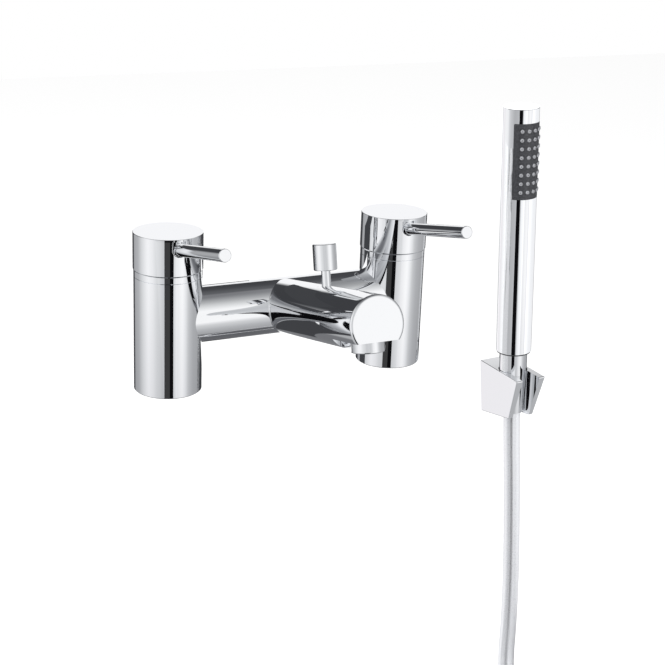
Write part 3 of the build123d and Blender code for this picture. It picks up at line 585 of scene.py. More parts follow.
def helper(name: str, bm: bmesh.types.BMesh) -> bpy.types.Object:
    """Make a helper object with rounded faces and crisp edges from a bmesh.

    Args:
        name: The helper's name.
        bm: The bmesh, which is freed.

    Returns:
        The helper object.
    """
    mesh = bpy.data.meshes.new(name)
    bm.to_mesh(mesh)
    bm.free()
    mesh.polygons.foreach_set("use_smooth", [True] * len(mesh.polygons))
    mesh.set_sharp_from_angle(angle=CRISP_TURN)
    piece = bpy.data.objects.new(name, mesh)
    bpy.context.scene.collection.objects.link(piece)
    return piece


def put_away(*pieces: bpy.types.Object) -> None:
    """Remove helper objects once a recipe is baked."""
    for piece in pieces:
        bpy.data.objects.remove(piece)


def frame_at(origin: Point, along_x: Point, along_z: Point) -> Matrix:
    """Return the matrix of a local frame.

    Args:
        origin: The frame's origin in millimetres.
        along_x: Its X axis.
        along_z: Its Z axis.

    Returns:
        The matrix from the local frame to the row's frame, in metres.
    """
    x_axis, z_axis = Vector(along_x).normalized(), Vector(along_z).normalized()
    turn = Matrix((x_axis, z_axis.cross(x_axis), z_axis)).transposed().to_4x4()
    return Matrix.Translation(Vector(origin) * MM) @ turn


def link(name: str, mesh: bpy.types.Mesh, finish: Finish) -> bpy.types.Object:
    """Put a mesh into the scene with its finish.

    Args:
        name: The piece's name.
        mesh: Its mesh, in the row's frame.
        finish: Its finish.

    Returns:
        The new object, at the origin.
    """
    piece = bpy.data.objects.new(name, mesh)
    bpy.context.scene.collection.objects.link(piece)
    mesh.materials.clear()
    mesh.materials.append(finish.material())
    log.info("built %s with %d faces", name, len(mesh.polygons))
    return piece


# Sub-assemblies


@dataclass
class Kit:
    """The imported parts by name, and the material slot of each."""

    nodes: dict[str, bpy.types.Object]
    slots: dict[str, str]

    def dress(self, names: Iterable[str]) -> None:
        """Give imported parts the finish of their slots.

        Args:
            names: The parts' names.
        """
        for name in names:
            finish = FINISHES[self.slots[name]]
            mesh = self.nodes[name].data
            mesh.materials.clear()
            mesh.materials.append(finish.material())
            log.info("dressed %s in %s", name, finish.name)


@dataclass
class MixerBody:
    """The casting with its two pillars, bridge and spout, and the collars on the pillars."""

    parts: tuple[str, ...] = ("mixer_body", "hot_collar", "cold_collar")

    def build(self, kit: Kit) -> None:
        """Dress the casting and its collars."""
        kit.dress(self.parts)


@dataclass
class Handle:
    """One handle: sleeve, cover disc, hub, lever and lock screw."""

    side: Side
    parts: tuple[str, ...] = ("handle_sleeve", "handle_disc", "handle_hub", "lever", "lock_screw")

    def build(self, kit: Kit) -> None:
        """Dress the handle's pieces."""
        kit.dress(f"{self.side.value}_{part}" for part in self.parts)


@dataclass
class Cartridge:
    """One quarter-turn ceramic cartridge with its spindle, discs and seals."""

    side: Side
    parts: tuple[str, ...] = (
        "cartridge",
        "seat_seal",
        "fixed_disc",
        "moving_disc",
        "spindle",
        "spindle_ring",
    )

    def build(self, kit: Kit) -> None:
        """Dress the cartridge's pieces."""
        kit.dress(f"{self.side.value}_{part}" for part in self.parts)


@dataclass
class Diverter:
    """The lift knob, its rod and valve, and the bonnet that guides them."""

    parts: tuple[str, ...] = (
        "diverter_knob",
        "diverter_rod",
        "diverter_disc",
        "diverter_washer",
        "diverter_bonnet",
        "diverter_ring",
    )

    def build(self, kit: Kit) -> None:
        """Dress the diverter's pieces."""
        kit.dress(self.parts)


@dataclass
class Aerator:
    """The shell under the spout, with a honeycomb of jets and a steel screen behind it.

    Sizes are in millimetres and the rise is in radians.
    """

    rise: float = radians(11.95)
    along: float = 134.1
    root_height: float = 52.7
    # Heights on the aerator's own axis, below the spout's axis.
    foot: float = -18.8
    top: float = -14.2
    comb_top: float = -16.2
    rim_radius: float = 9.3
    rim_edge: float = 0.2
    rim_around: int = 72
    lip: float = 0.6
    lip_edge: float = 0.3
    comb_radius: float = 8.0
    cell_pitch: float = 1.9
    cell_wall: float = 0.3
    cells_across: int = 11
    # The share of a cell that may reach past the comb's circle.
    cell_overlap: float = 0.7
    # The wires lie a little farther apart than in a real screen, so that they show.
    wires: int = 31
    wire_spacing: float = 0.5
    wire_radius: float = 0.09
    wire_levels: tuple[float, float] = (0.25, 0.42)
    screen_inset: float = 0.65
    shortest_chord: float = 0.1
    parts: tuple[str, ...] = ("aerator_ring", "aerator_insert", "aerator_washer")

    def place(self) -> Matrix:
        """Return the frame whose Z axis is the aerator's axis, facing up."""
        origin = (0.0, -self.along * cos(self.rise), self.root_height + self.along * sin(self.rise))
        return frame_at(origin, (1, 0, 0), (0, sin(self.rise), cos(self.rise)))

    def rim(self) -> bpy.types.Object:
        """Turn the ring that holds the comb.

        Returns:
            The ring as a helper object.
        """
        outline = [
            (self.comb_radius - self.lip, self.foot + self.lip_edge),
            (self.comb_radius - self.lip_edge, self.foot),
            (self.rim_radius - self.rim_edge, self.foot),
            (self.rim_radius, self.foot + self.rim_edge),
            (self.rim_radius, self.top),
            (self.comb_radius - self.lip, self.top),
        ]
        return lathe("comb_rim", outline, self.rim_around, True)

    def comb(self) -> bpy.types.Mesh:
        """Fill the rim with hexagonal cells in a triangular lattice.

        Returns:
            The insert's mesh.
        """
        outside = self.cell_pitch / 3**0.5
        inside = outside - self.cell_wall
        outline = [
            (inside, self.foot),
            (outside, self.foot),
            (outside, self.comb_top),
            (inside, self.comb_top),
        ]
        cell = lathe("comb_cell", outline, 6, True)
        rim = self.rim()
        recipe = Recipe("honeycomb")
        across = recipe.take("Cells across", "Int", self.cells_across)
        step = recipe.take("Cell radius", "Float", outside * MM)
        reach = recipe.take("Comb radius", "Float", (self.comb_radius - outside * self.cell_overlap) * MM)
        index = add_node(recipe.tree, "GeometryNodeInputIndex").outputs[0]
        half = recipe.math("DIVIDE", recipe.math("SUBTRACT", across, 1.0), 2.0)
        column = recipe.math("MODULO", index, across)
        row = recipe.math("FLOOR", recipe.math("DIVIDE", index, across))
        shift = recipe.math("DIVIDE", recipe.math("MODULO", column, 2.0), 2.0)
        # Columns stand one and a half cell radii apart, and rows the square root of three.
        column_pitch = recipe.math("MULTIPLY", step, 1.5)
        row_pitch = recipe.math("MULTIPLY", step, 3**0.5)
        x = recipe.math("MULTIPLY", recipe.math("SUBTRACT", column, half), column_pitch)
        shifted = recipe.math("SUBTRACT", recipe.math("ADD", row, shift), half)
        y = recipe.math("MULTIPLY", shifted, row_pitch)
        squares = recipe.math("ADD", recipe.math("MULTIPLY", x, x), recipe.math("MULTIPLY", y, y))
        far = recipe.math("SQRT", squares)
        place = add_node(recipe.tree, "ShaderNodeCombineXYZ", inputs={"X": x, "Y": y}).outputs[0]
        count = recipe.math("MULTIPLY", across, across)
        cells = recipe.scatter(count, place, None, recipe.solid("Cell", cell))
        near = add_node(
            recipe.tree,
            "FunctionNodeCompare",
            {"operation": "LESS_THAN"},
            {"A": far, "B": reach},
        )
        recipe.tree.links.new(near.outputs[0], cells.node.inputs["Selection"])
        mesh = recipe.bake([cells, recipe.solid("Rim", rim)], ACETAL, self.place())
        put_away(cell, rim)
        return mesh

    def screen(self) -> bpy.types.Mesh:
        """Lay two layers of wires across the rim, cut to its circle.

        Returns:
            The screen's mesh.
        """
        # One wire is a millimetre long, and each place stretches its own.
        outline = [(0, -0.5), (self.wire_radius, -0.5), (self.wire_radius, 0.5), (0, 0.5)]
        wire = lathe("screen_wire", outline, 6, False)
        recipe = Recipe("screen")
        count = recipe.take("Wires", "Int", self.wires)
        gap = recipe.take("Wire spacing", "Float", self.wire_spacing * MM)
        radius = recipe.take("Screen radius", "Float", (self.comb_radius - self.screen_inset) * MM)
        index = add_node(recipe.tree, "GeometryNodeInputIndex").outputs[0]
        half = recipe.math("DIVIDE", recipe.math("SUBTRACT", count, 1.0), 2.0)
        aside = recipe.math("MULTIPLY", recipe.math("SUBTRACT", index, half), gap)
        squares = recipe.math(
            "SUBTRACT",
            recipe.math("MULTIPLY", radius, radius),
            recipe.math("MULTIPLY", aside, aside),
        )
        chord = recipe.math("SQRT", recipe.math("MAXIMUM", squares, (self.shortest_chord * MM) ** 2))
        length = recipe.math("MULTIPLY", chord, 2 / MM)
        stretch = add_node(recipe.tree, "ShaderNodeCombineXYZ", inputs={"X": 1.0, "Y": 1.0, "Z": length})
        layers = []
        for axis, other, level in zip("XY", "YX", self.wire_levels):
            height = (self.comb_top + level) * MM
            place = add_node(recipe.tree, "ShaderNodeCombineXYZ", inputs={other: aside, "Z": height})
            outward = add_node(recipe.tree, "ShaderNodeCombineXYZ", inputs={axis: 1.0})
            piece = recipe.solid("Wire " + axis, wire)
            wires = recipe.scatter(count, place.outputs[0], outward.outputs[0], piece)
            recipe.tree.links.new(stretch.outputs[0], wires.node.inputs["Scale"])
            layers.append(wires)
        mesh = recipe.bake(layers, STAINLESS, self.place())
        put_away(wire)
        return mesh

    def build(self, kit: Kit) -> None:
        """Dress the shell and put the comb and the screen in it.

        Args:
            kit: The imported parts.
        """
        kit.dress(self.parts)
        insert = link("aerator_honeycomb", self.comb(), ACETAL)
        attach(insert, "root")
        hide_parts("aerator_insert")
        screen = link("aerator_screen", self.screen(), STAINLESS)
        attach(screen, "root")


@dataclass
class ShowerOutlet:
    """The threaded outlet for the hose at the back of the bridge, and its washer.

    Sizes are in millimetres, along the outlet's axis from the middle of the bridge.
    """

    height: float = 53.2
    way_radius: float = 6.0
    shank_radius: float = 8.55
    shank_start: float = 16.4
    flange_radius: float = 12.4
    flange_start: float = 23.2
    flange_end: float = 25.8
    flange_edge: float = 0.3
    root_radius: float = 9.32
    crest_radius: float = 10.46
    end: float = 35.8
    end_edge: float = 0.5
    mouth_edge: float = 0.4
    core_around: int = 96
    pitch: float = 1.814
    crest_flat: float = 0.25
    # The ridge's foot nearly fills the pitch and sits a little inside the core.
    foot_share: float = 0.97
    sink: float = 0.03
    run_in: float = 0.6
    steps_per_turn: int = 72
    parts: tuple[str, ...] = ("shower_nipple", "nipple_seal")

    def core(self) -> bpy.types.Object:
        """Turn the nipple without its thread.

        Returns:
            The core as a helper object.
        """
        outline = [
            (self.way_radius, self.shank_start),
            (self.shank_radius, self.shank_start),
            (self.shank_radius, self.flange_start),
            (self.flange_radius - self.flange_edge, self.flange_start),
            (self.flange_radius, self.flange_start + self.flange_edge),
            (self.flange_radius, self.flange_end - self.flange_edge),
            (self.flange_radius - self.flange_edge, self.flange_end),
            (self.root_radius, self.flange_end),
            (self.root_radius, self.end - self.end_edge),
            (self.root_radius - self.end_edge, self.end),
            (self.way_radius + self.mouth_edge, self.end),
            (self.way_radius, self.end - self.mouth_edge),
        ]
        return lathe("nipple_core", outline, self.core_around, True)

    def thread(self) -> bpy.types.Mesh:
        """Cut a half inch pipe thread: a ridge that winds round the turned core.

        Returns:
            The nipple's mesh.
        """
        core = self.core()
        recipe = Recipe("pipe_thread")
        start = self.flange_end + self.pitch * self.run_in
        length = self.end - self.mouth_edge - self.pitch / 2 - start
        root = recipe.take("Root radius", "Float", (self.root_radius - self.sink) * MM)
        climb = recipe.take("Thread length", "Float", length * MM)
        turns = recipe.take("Turns", "Float", length / self.pitch)
        foot = recipe.take("Ridge foot", "Float", self.pitch * self.foot_share * MM)
        crest = recipe.take("Crest flat", "Float", self.crest_flat * MM)
        height = self.crest_radius - self.root_radius + self.sink
        depth = recipe.take("Ridge height", "Float", height * MM)
        line = add_node(
            recipe.tree,
            "GeometryNodeCurveSpiral",
            inputs={
                "Resolution": self.steps_per_turn,
                "Rotations": turns,
                "Start Radius": root,
                "End Radius": root,
                "Height": climb,
            },
        )
        upright = add_node(
            recipe.tree,
            "GeometryNodeSetCurveNormal",
            {"mode": "Z_UP"},
            {"Curve": line.outputs[0]},
        )
        tooth = add_node(
            recipe.tree,
            "GeometryNodeCurvePrimitiveQuadrilateral",
            {"mode": "TRAPEZOID"},
            {"Bottom Width": foot, "Top Width": crest, "Height": depth, "Offset": 0.0},
        )
        middle = recipe.math("DIVIDE", depth, 2.0)
        outward = add_node(recipe.tree, "ShaderNodeCombineXYZ", inputs={"X": middle})
        shifted = add_node(
            recipe.tree,
            "GeometryNodeTransform",
            inputs={
                "Geometry": tooth.outputs[0],
                "Translation": outward.outputs[0],
                "Rotation": (0.0, 0.0, -pi / 2),
            },
        )
        ridge = add_node(
            recipe.tree,
            "GeometryNodeCurveToMesh",
            inputs={"Curve": upright.outputs[0], "Profile Curve": shifted.outputs[0], "Fill Caps": True},
        )
        raised = add_node(
            recipe.tree,
            "GeometryNodeTransform",
            inputs={"Geometry": ridge.outputs[0], "Translation": (0.0, 0.0, start * MM)},
        )
        place = frame_at((0, 0, self.height), (-1, 0, 0), (0, 1, 0))
        mesh = recipe.bake([recipe.solid("Core", core), raised.outputs[0]], CHROME, place)
        put_away(core)
        return mesh

    def build(self, kit: Kit) -> None:
        """Dress the outlet and replace its plain nipple with the threaded one.

        Args:
            kit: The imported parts.
        """
        kit.dress(self.parts)
        nipple = link("threaded_nipple", self.thread(), CHROME)
        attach(nipple, "root")
        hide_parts("shower_nipple")


@dataclass
class Holder:
    """The forked wall holder, its block and its screw."""

    parts: tuple[str, ...] = ("holder_body", "holder_block", "holder_screw")

    def build(self, kit: Kit) -> None:
        """Dress the holder's pieces."""
        kit.dress(self.parts)


@dataclass
class Handset:
    """The stick handset, with forty soft nozzles that stand out of its dark spray plate.

    Sizes are in millimetres and angles in radians, about the handset's own axis.
    """

    origin: Point = (239.56, 46.42, -44.3)
    lean: float = radians(3.0)
    spray_middle: float = 183.4
    spray_half_length: float = 30.0
    spray_turn: float = radians(-72.8)
    mat_half_angle: float = radians(69.0)
    mat_inside: float = 11.6
    mat_outside: float = 13.3
    mat_steps: int = 36
    rows: int = 8
    columns: int = 5
    row_pitch: float = 7.16
    column_turn: float = radians(22.4)
    nozzle_root: float = 12.45
    nozzle_radius: float = 1.58
    nozzle_tip: float = 3.42
    # The share of the radius and the depth below the tip, up the rounded end.
    nozzle_crown: tuple[tuple[float, float], ...] = (
        (1.0, 0.85),
        (0.93, 0.45),
        (0.8, 0.18),
        (0.58, 0.03),
        (0.42, 0.0),
    )
    nozzle_mouth: float = 0.45
    mouth_edge: float = 0.06
    mouth_depth: float = 1.2
    mouth_taper: float = 0.9
    nozzle_around: int = 20
    parts: tuple[str, ...] = (
        "handset_tube",
        "handset_cap",
        "spray_face",
        "nozzle_mat",
        "handset_core",
        "handset_tail",
        "gap_ring",
    )

    def mat(self) -> bpy.types.Object:
        """Bend the sheet that the nozzles grow from.

        Returns:
            The sheet as a helper object.
        """
        bm = bmesh.new()
        low = self.spray_middle - self.spray_half_length
        high = self.spray_middle + self.spray_half_length
        section = (
            (self.mat_inside, low),
            (self.mat_outside, low),
            (self.mat_outside, high),
            (self.mat_inside, high),
        )
        rings = []
        for number in range(self.mat_steps + 1):
            turn = self.spray_turn + self.mat_half_angle * (2 * number / self.mat_steps - 1)
            ring = []
            for radius, height in section:
                ring.append(bm.verts.new((radius * cos(turn) * MM, radius * sin(turn) * MM, height * MM)))
            rings.append(ring)
        for first, second in zip(rings, rings[1:]):
            for corner in range(4):
                after = (corner + 1) % 4
                bm.faces.new((first[corner], first[after], second[after], second[corner]))
        bm.faces.new(rings[0])
        bm.faces.new(rings[-1])
        bmesh.ops.recalc_face_normals(bm, faces=bm.faces)
        return helper("nozzle_sheet", bm)

    def nozzle(self) -> bpy.types.Object:
        """Turn one nozzle with a rounded end and a mouth.

        Returns:
            The nozzle as a helper object.
        """
        tip, mouth, radius = self.nozzle_tip, self.nozzle_mouth, self.nozzle_radius
        outline = [(0, 0), (radius, 0)]
        outline += [(radius * share, tip - depth) for share, depth in self.nozzle_crown]
        outline += [
            (mouth, tip - self.mouth_edge),
            (mouth * self.mouth_taper, tip - self.mouth_depth),
            (0, tip - self.mouth_depth),
        ]
        return lathe("nozzle", outline, self.nozzle_around, False)

    def nozzles(self) -> bpy.types.Mesh:
        """Set the nozzles in rows round the handset's axis.

        Returns:
            The mat's mesh, with all its nozzles.
        """
        nozzle, sheet = self.nozzle(), self.mat()
        recipe = Recipe("nozzle_rows")
        rows = recipe.take("Rows", "Int", self.rows)
        columns = recipe.take("Columns", "Int", self.columns)
        pitch = recipe.take("Row pitch", "Float", self.row_pitch * MM)
        turn_pitch = recipe.take("Column turn", "Float", self.column_turn)
        middle = recipe.take("Middle turn", "Float", self.spray_turn)
        height = recipe.take("Middle height", "Float", self.spray_middle * MM)
        root = recipe.take("Root radius", "Float", self.nozzle_root * MM)
        index = add_node(recipe.tree, "GeometryNodeInputIndex").outputs[0]
        column = recipe.math("MODULO", index, columns)
        row = recipe.math("FLOOR", recipe.math("DIVIDE", index, columns))
        half_columns = recipe.math("DIVIDE", recipe.math("SUBTRACT", columns, 1.0), 2.0)
        half_rows = recipe.math("DIVIDE", recipe.math("SUBTRACT", rows, 1.0), 2.0)
        aside = recipe.math("SUBTRACT", column, half_columns)
        above = recipe.math("SUBTRACT", row, half_rows)
        turn = recipe.math("ADD", middle, recipe.math("MULTIPLY", aside, turn_pitch))
        level = recipe.math("ADD", height, recipe.math("MULTIPLY", above, pitch))
        cosine, sine = recipe.math("COSINE", turn), recipe.math("SINE", turn)
        x, y = recipe.math("MULTIPLY", cosine, root), recipe.math("MULTIPLY", sine, root)
        place = add_node(recipe.tree, "ShaderNodeCombineXYZ", inputs={"X": x, "Y": y, "Z": level})
        outward = add_node(recipe.tree, "ShaderNodeCombineXYZ", inputs={"X": cosine, "Y": sine})
        count = recipe.math("MULTIPLY", rows, columns)
        piece = recipe.solid("Nozzle", nozzle)
        copies = recipe.scatter(count, place.outputs[0], outward.outputs[0], piece)
        across, up = (cos(self.lean), 0, sin(self.lean)), (-sin(self.lean), 0, cos(self.lean))
        axis = frame_at(self.origin, across, up)
        mesh = recipe.bake([copies, recipe.solid("Sheet", sheet)], SILICONE, axis)
        put_away(nozzle, sheet)
        return mesh

    def build(self, kit: Kit) -> None:
        """Dress the handset and set its nozzles.

        Args:
            kit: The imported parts.
        """
        kit.dress(self.parts)
        mat = link("nozzle_rows", self.nozzles(), SILICONE)
        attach(mat, "handset")
        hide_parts("nozzle_mat")


@dataclass
class Hose:
    """The hose: it hangs from the cone nut, swings forward and lies in a put-away coil.

    Sizes and places are in metres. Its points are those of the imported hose.
    """

    diameter: float = 0.01446
    length: float = 1.5
    coil_radius: float = 0.07663
    coil_pitch: float = 0.01521
    coil_turns: int = 2
    points_per_turn: int = 16
    curve_steps: int = 16
    around: int = 32
    step: float = 0.0022
    drop: tuple[Point, ...] = (
        (0.239958, 0.04642, -0.05189),
        (0.241967, 0.04642, -0.090237),
        (0.24935, 0.04642, -0.164),
        (0.257, 0.04642, -0.268),
        (0.257, 0.046367, -0.351804),
        (0.257, 0.023367, -0.391641),
        (0.257, -0.01647, -0.414641),
        (0.257, -0.062447, -0.416093),
    )
    landing: Point = (0.257, -0.0769, -0.416552)
    tail: tuple[Point, ...] = (
        (0.257, -0.1075, -0.447),
        (0.257, -0.1225, -0.443),
        (0.257, -0.1389, -0.443),
        (0.257, -0.1629, -0.443),
    )
    fittings: tuple[str, ...] = ("hose_ferrule", "end_ferrule", "end_washer", "hex_nut")
    parts: tuple[str, ...] = ("hose_drop", "hose_coil", "hose_washer", "cone_nut")
    # Where the hose joins the body of the cone nut, and where it is part of the coil.
    blend_start: int = 1
    blend_end: int = 6

    def route(self) -> list[Vector]:
        """List the control points of the drop, the coil's turns and the free end.

        Returns:
            The points in order from the cone nut to the free end.
        """
        points = [Vector(p) for p in self.drop]
        centre = Vector(self.landing) - Vector((self.coil_radius, 0, 0))
        share = 2 * pi / self.points_per_turn
        outside = self.coil_radius / cos(share / 2)
        for number in range(self.coil_turns * self.points_per_turn):
            angle = -(number + 0.5) * share
            fall = self.coil_pitch * (number + 0.5) / self.points_per_turn
            points.append(centre + Vector((outside * cos(angle), outside * sin(angle), -fall)))
        points.extend(Vector(p) for p in self.tail)
        return points

    def centreline(self) -> list[Vector]:
        """Read the NURBS spline through the route, without points that lie too close.

        Returns:
            The points along the hose's axis.
        """
        route = self.route()
        curve = bpy.data.curves.new("hose_route", "CURVE")
        curve.dimensions = "3D"
        spline = curve.splines.new("NURBS")
        spline.points.add(len(route) - 1)
        for point, place in zip(spline.points, route):
            point.co = (*place, 1.0)
        spline.order_u = 3
        spline.use_endpoint_u = True
        spline.resolution_u = self.curve_steps
        guide = bpy.data.objects.new("hose_route", curve)
        bpy.context.scene.collection.objects.link(guide)
        read = bpy.data.meshes.new_from_object(guide.evaluated_get(bpy.context.evaluated_depsgraph_get()))
        found = [read.vertices[0].co.copy()]
        for vertex in read.vertices[1:]:
            if (vertex.co - found[-1]).length > self.step:
                found.append(vertex.co.copy())
        bpy.data.objects.remove(guide)
        bpy.data.curves.remove(curve)
        bpy.data.meshes.remove(read)
        return found

    def rings(self, bm: bmesh.types.BMesh, line: Sequence[Vector]) -> list[list[bmesh.types.BMVert]]:
        """Set a ring of vertices round each point, without twist.

        Args:
            bm: The bmesh that the vertices go into.
            line: The points along the hose's axis.

        Returns:
            The vertices of each ring.
        """
        normal = Vector((0, 1, 0))
        rings = []
        for number, point in enumerate(line):
            ahead = line[min(number + 1, len(line) - 1)] - line[max(number - 1, 0)]
            ahead.normalize()
            normal = (normal - ahead * normal.dot(ahead)).normalized()
            side = ahead.cross(normal)
            ring = []
            for turn in range(self.around):
                angle = 2 * pi * turn / self.around
                outward = normal * cos(angle) + side * sin(angle)
                ring.append(bm.verts.new(point + outward * self.diameter / 2))
            rings.append(ring)
        return rings

    def jacket(self, line: Sequence[Vector]) -> bpy.types.Mesh:
        """Sweep the jacket, with a UV map of millimetres along and turns around.

        Args:
            line: The points along the hose's axis.

        Returns:
            The jacket's closed mesh.
        """
        bm = bmesh.new()
        uv = bm.loops.layers.uv.new("along")
        rings = self.rings(bm, line)
        travelled = [0.0]
        for before, point in zip(line, line[1:]):
            travelled.append(travelled[-1] + (point - before).length / MM)
        for number, (low, high) in enumerate(zip(rings, rings[1:])):
            for turn in range(self.around):
                after = (turn + 1) % self.around
                face = bm.faces.new((low[turn], low[after], high[after], high[turn]))
                corners = ((number, turn), (number, turn + 1), (number + 1, turn + 1), (number + 1, turn))
                for loop, (along, step) in zip(face.loops, corners):
                    loop[uv].uv = (travelled[along], step / self.around)
        bm.faces.new(rings[0])
        bm.faces.new(list(reversed(rings[-1])))
        bmesh.ops.recalc_face_normals(bm, faces=bm.faces)
        mesh = bpy.data.meshes.new("hose")
        bm.to_mesh(mesh)
        bm.free()
        mesh.polygons.foreach_set("use_smooth", [True] * len(mesh.polygons))
        return mesh

    def build(self, kit: Kit) -> None:
        """Args:
            kit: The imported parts.
        """
        kit.dress(self.parts + self.fittings)
        line = self.centreline()
        hose = link("hose", self.jacket(line), HOSE_VINYL)
        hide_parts("hose_drop", "hose_coil")
        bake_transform(hose)


# The studio


@dataclass(frozen=True)
class Card:
    """An upright card that stands in the room for the mirror surfaces to show.

    The bounces say whether the first reflection or only the later ones show it.
    """

    name: str
    low: Point
    high: Point
    shades: tuple[tuple[float, str], ...]
    strength: float = 1.0
    bounces: tuple[int, int] = (0, 99)
    one_sided: bool = False

    def strip(self) -> bpy.types.Mesh:
        """Lay the shades side by side from the low corner to the high one.

        Returns:
            The card's mesh, with the shades in a colour attribute.
        """
        bm = bmesh.new()
        shade = bm.verts.layers.float_color.new("shade")
        low, high = Vector(self.low), Vector(self.high)
        posts = []
        for share, colour in self.shades:
            foot = low.lerp(Vector((high.x, high.y, low.z)), share)
            post = [bm.verts.new(foot), bm.verts.new((foot.x, foot.y, high.z))]
            for vertex in post:
                vertex[shade] = linear(colour)
            posts.append(post)
        for first, second in zip(posts, posts[1:]):
            bm.faces.new((first[0], second[0], second[1], first[1]))
        mesh = bpy.data.meshes.new(self.name)
        bm.to_mesh(mesh)
        bm.free()
        return mesh

    def material(self) -> bpy.types.Material:
        """Make the card's own light, which only the counted bounces see, from the front if one-sided.

        Returns:
            The card's material.
        """
        made = bpy.data.materials.new(self.name)
        made.use_nodes = True
        tree = made.node_tree
        tree.nodes.clear()
        paint = add_node(tree, "ShaderNodeAttribute", {"attribute_name": "shade"})
        light = add_node(
            tree,
            "ShaderNodeEmission",
            inputs={"Color": paint.outputs["Color"], "Strength": self.strength},
        )
        path = add_node(tree, "ShaderNodeLightPath")
        first, last = self.bounces
        middle, reach = (first + last) / 2, (last - first) / 2 + 0.5
        seen = add_node(
            tree,
            "ShaderNodeMath",
            {"operation": "COMPARE"},
            {0: path.outputs["Glossy Depth"], 1: middle, 2: reach},
        )
        if self.one_sided:
            face = add_node(tree, "ShaderNodeNewGeometry")
            seen = add_node(
                tree,
                "ShaderNodeMath",
                {"operation": "SUBTRACT"},
                {0: seen.outputs[0], 1: face.outputs["Backfacing"]},
            )
        clear = add_node(tree, "ShaderNodeBsdfTransparent")
        pick = add_node(
            tree,
            "ShaderNodeMixShader",
            inputs={0: seen.outputs[0], 1: clear.outputs[0], 2: light.outputs[0]},
        )
        add_node(tree, "ShaderNodeOutputMaterial", inputs={"Surface": pick.outputs[0]})
        return made

    def build(self) -> None:
        """Stand the card in the room, seen by glossy rays only."""
        card = bpy.data.objects.new(self.name, self.strip())
        card.data.materials.append(self.material())
        bpy.context.scene.collection.objects.link(card)
        card.visible_camera = False
        card.visible_diffuse = False
        card.visible_shadow = False
        card.visible_transmission = False


# Shades of the cards, by the share of the way from the low corner to the high one.
BLACK = ((0.0, "0e0e10"), (1.0, "0e0e10"))
DARK = ((0.0, "434447"), (1.0, "434447"))
WHITE = ((0.0, "ffffff"), (1.0, "ffffff"))
DIVIDER = (
    (0.0, "c4c5c7"),
    (0.06, "bcbdbf"),
    (0.11, "b9babc"),
    (0.17, "cfd0d2"),
    (0.20, "dddee0"),
    (0.225, "fafafb"),
    (0.30, "ffffff"),
    (0.40, "f8f6f8"),
    (1.0, "f6f3f6"),
)
# The pieces that each set of panels is for.
HANDSET = ("handset_tube", "handset_cap", "hose")
MIXER_CHROME = (
    "mixer_body",
    "hot_collar",
    "cold_collar",
    "hot_handle_sleeve",
    "cold_handle_sleeve",
    "hot_lever",
    "cold_lever",
    "diverter_knob",
    "diverter_rod",
    "aerator_ring",
)


# Watts of an area light for each square metre, at a radiance of 1.
WATTS_PER_AREA = 4.0


@dataclass(frozen=True)
class Panel:
    """A soft panel that only some pieces reflect, as when each is photographed on its own."""

    name: str
    centre: Point
    facing: Point
    size: tuple[float, float]
    radiance: float
    receivers: tuple[str, ...]

    def build(self) -> None:
        """Hang the panel and link it to its pieces."""
        data = bpy.data.lights.new(self.name, "AREA")
        data.shape = "RECTANGLE"
        data.size, data.size_y = self.size
        data.energy = self.radiance * self.size[0] * self.size[1] * WATTS_PER_AREA
        lamp = bpy.data.objects.new(self.name, data)
        lamp.location = self.centre
        lamp.rotation_euler = Vector(self.facing).to_track_quat("-Z", "Z").to_euler()
        lamp.visible_camera = False
        lamp.visible_diffuse = False
        group = bpy.data.collections.new(self.name)
        for name in self.receivers:
            group.objects.link(bpy.data.objects[name])
        lamp.light_linking.receiver_collection = group
        bpy.context.scene.collection.objects.link(lamp)


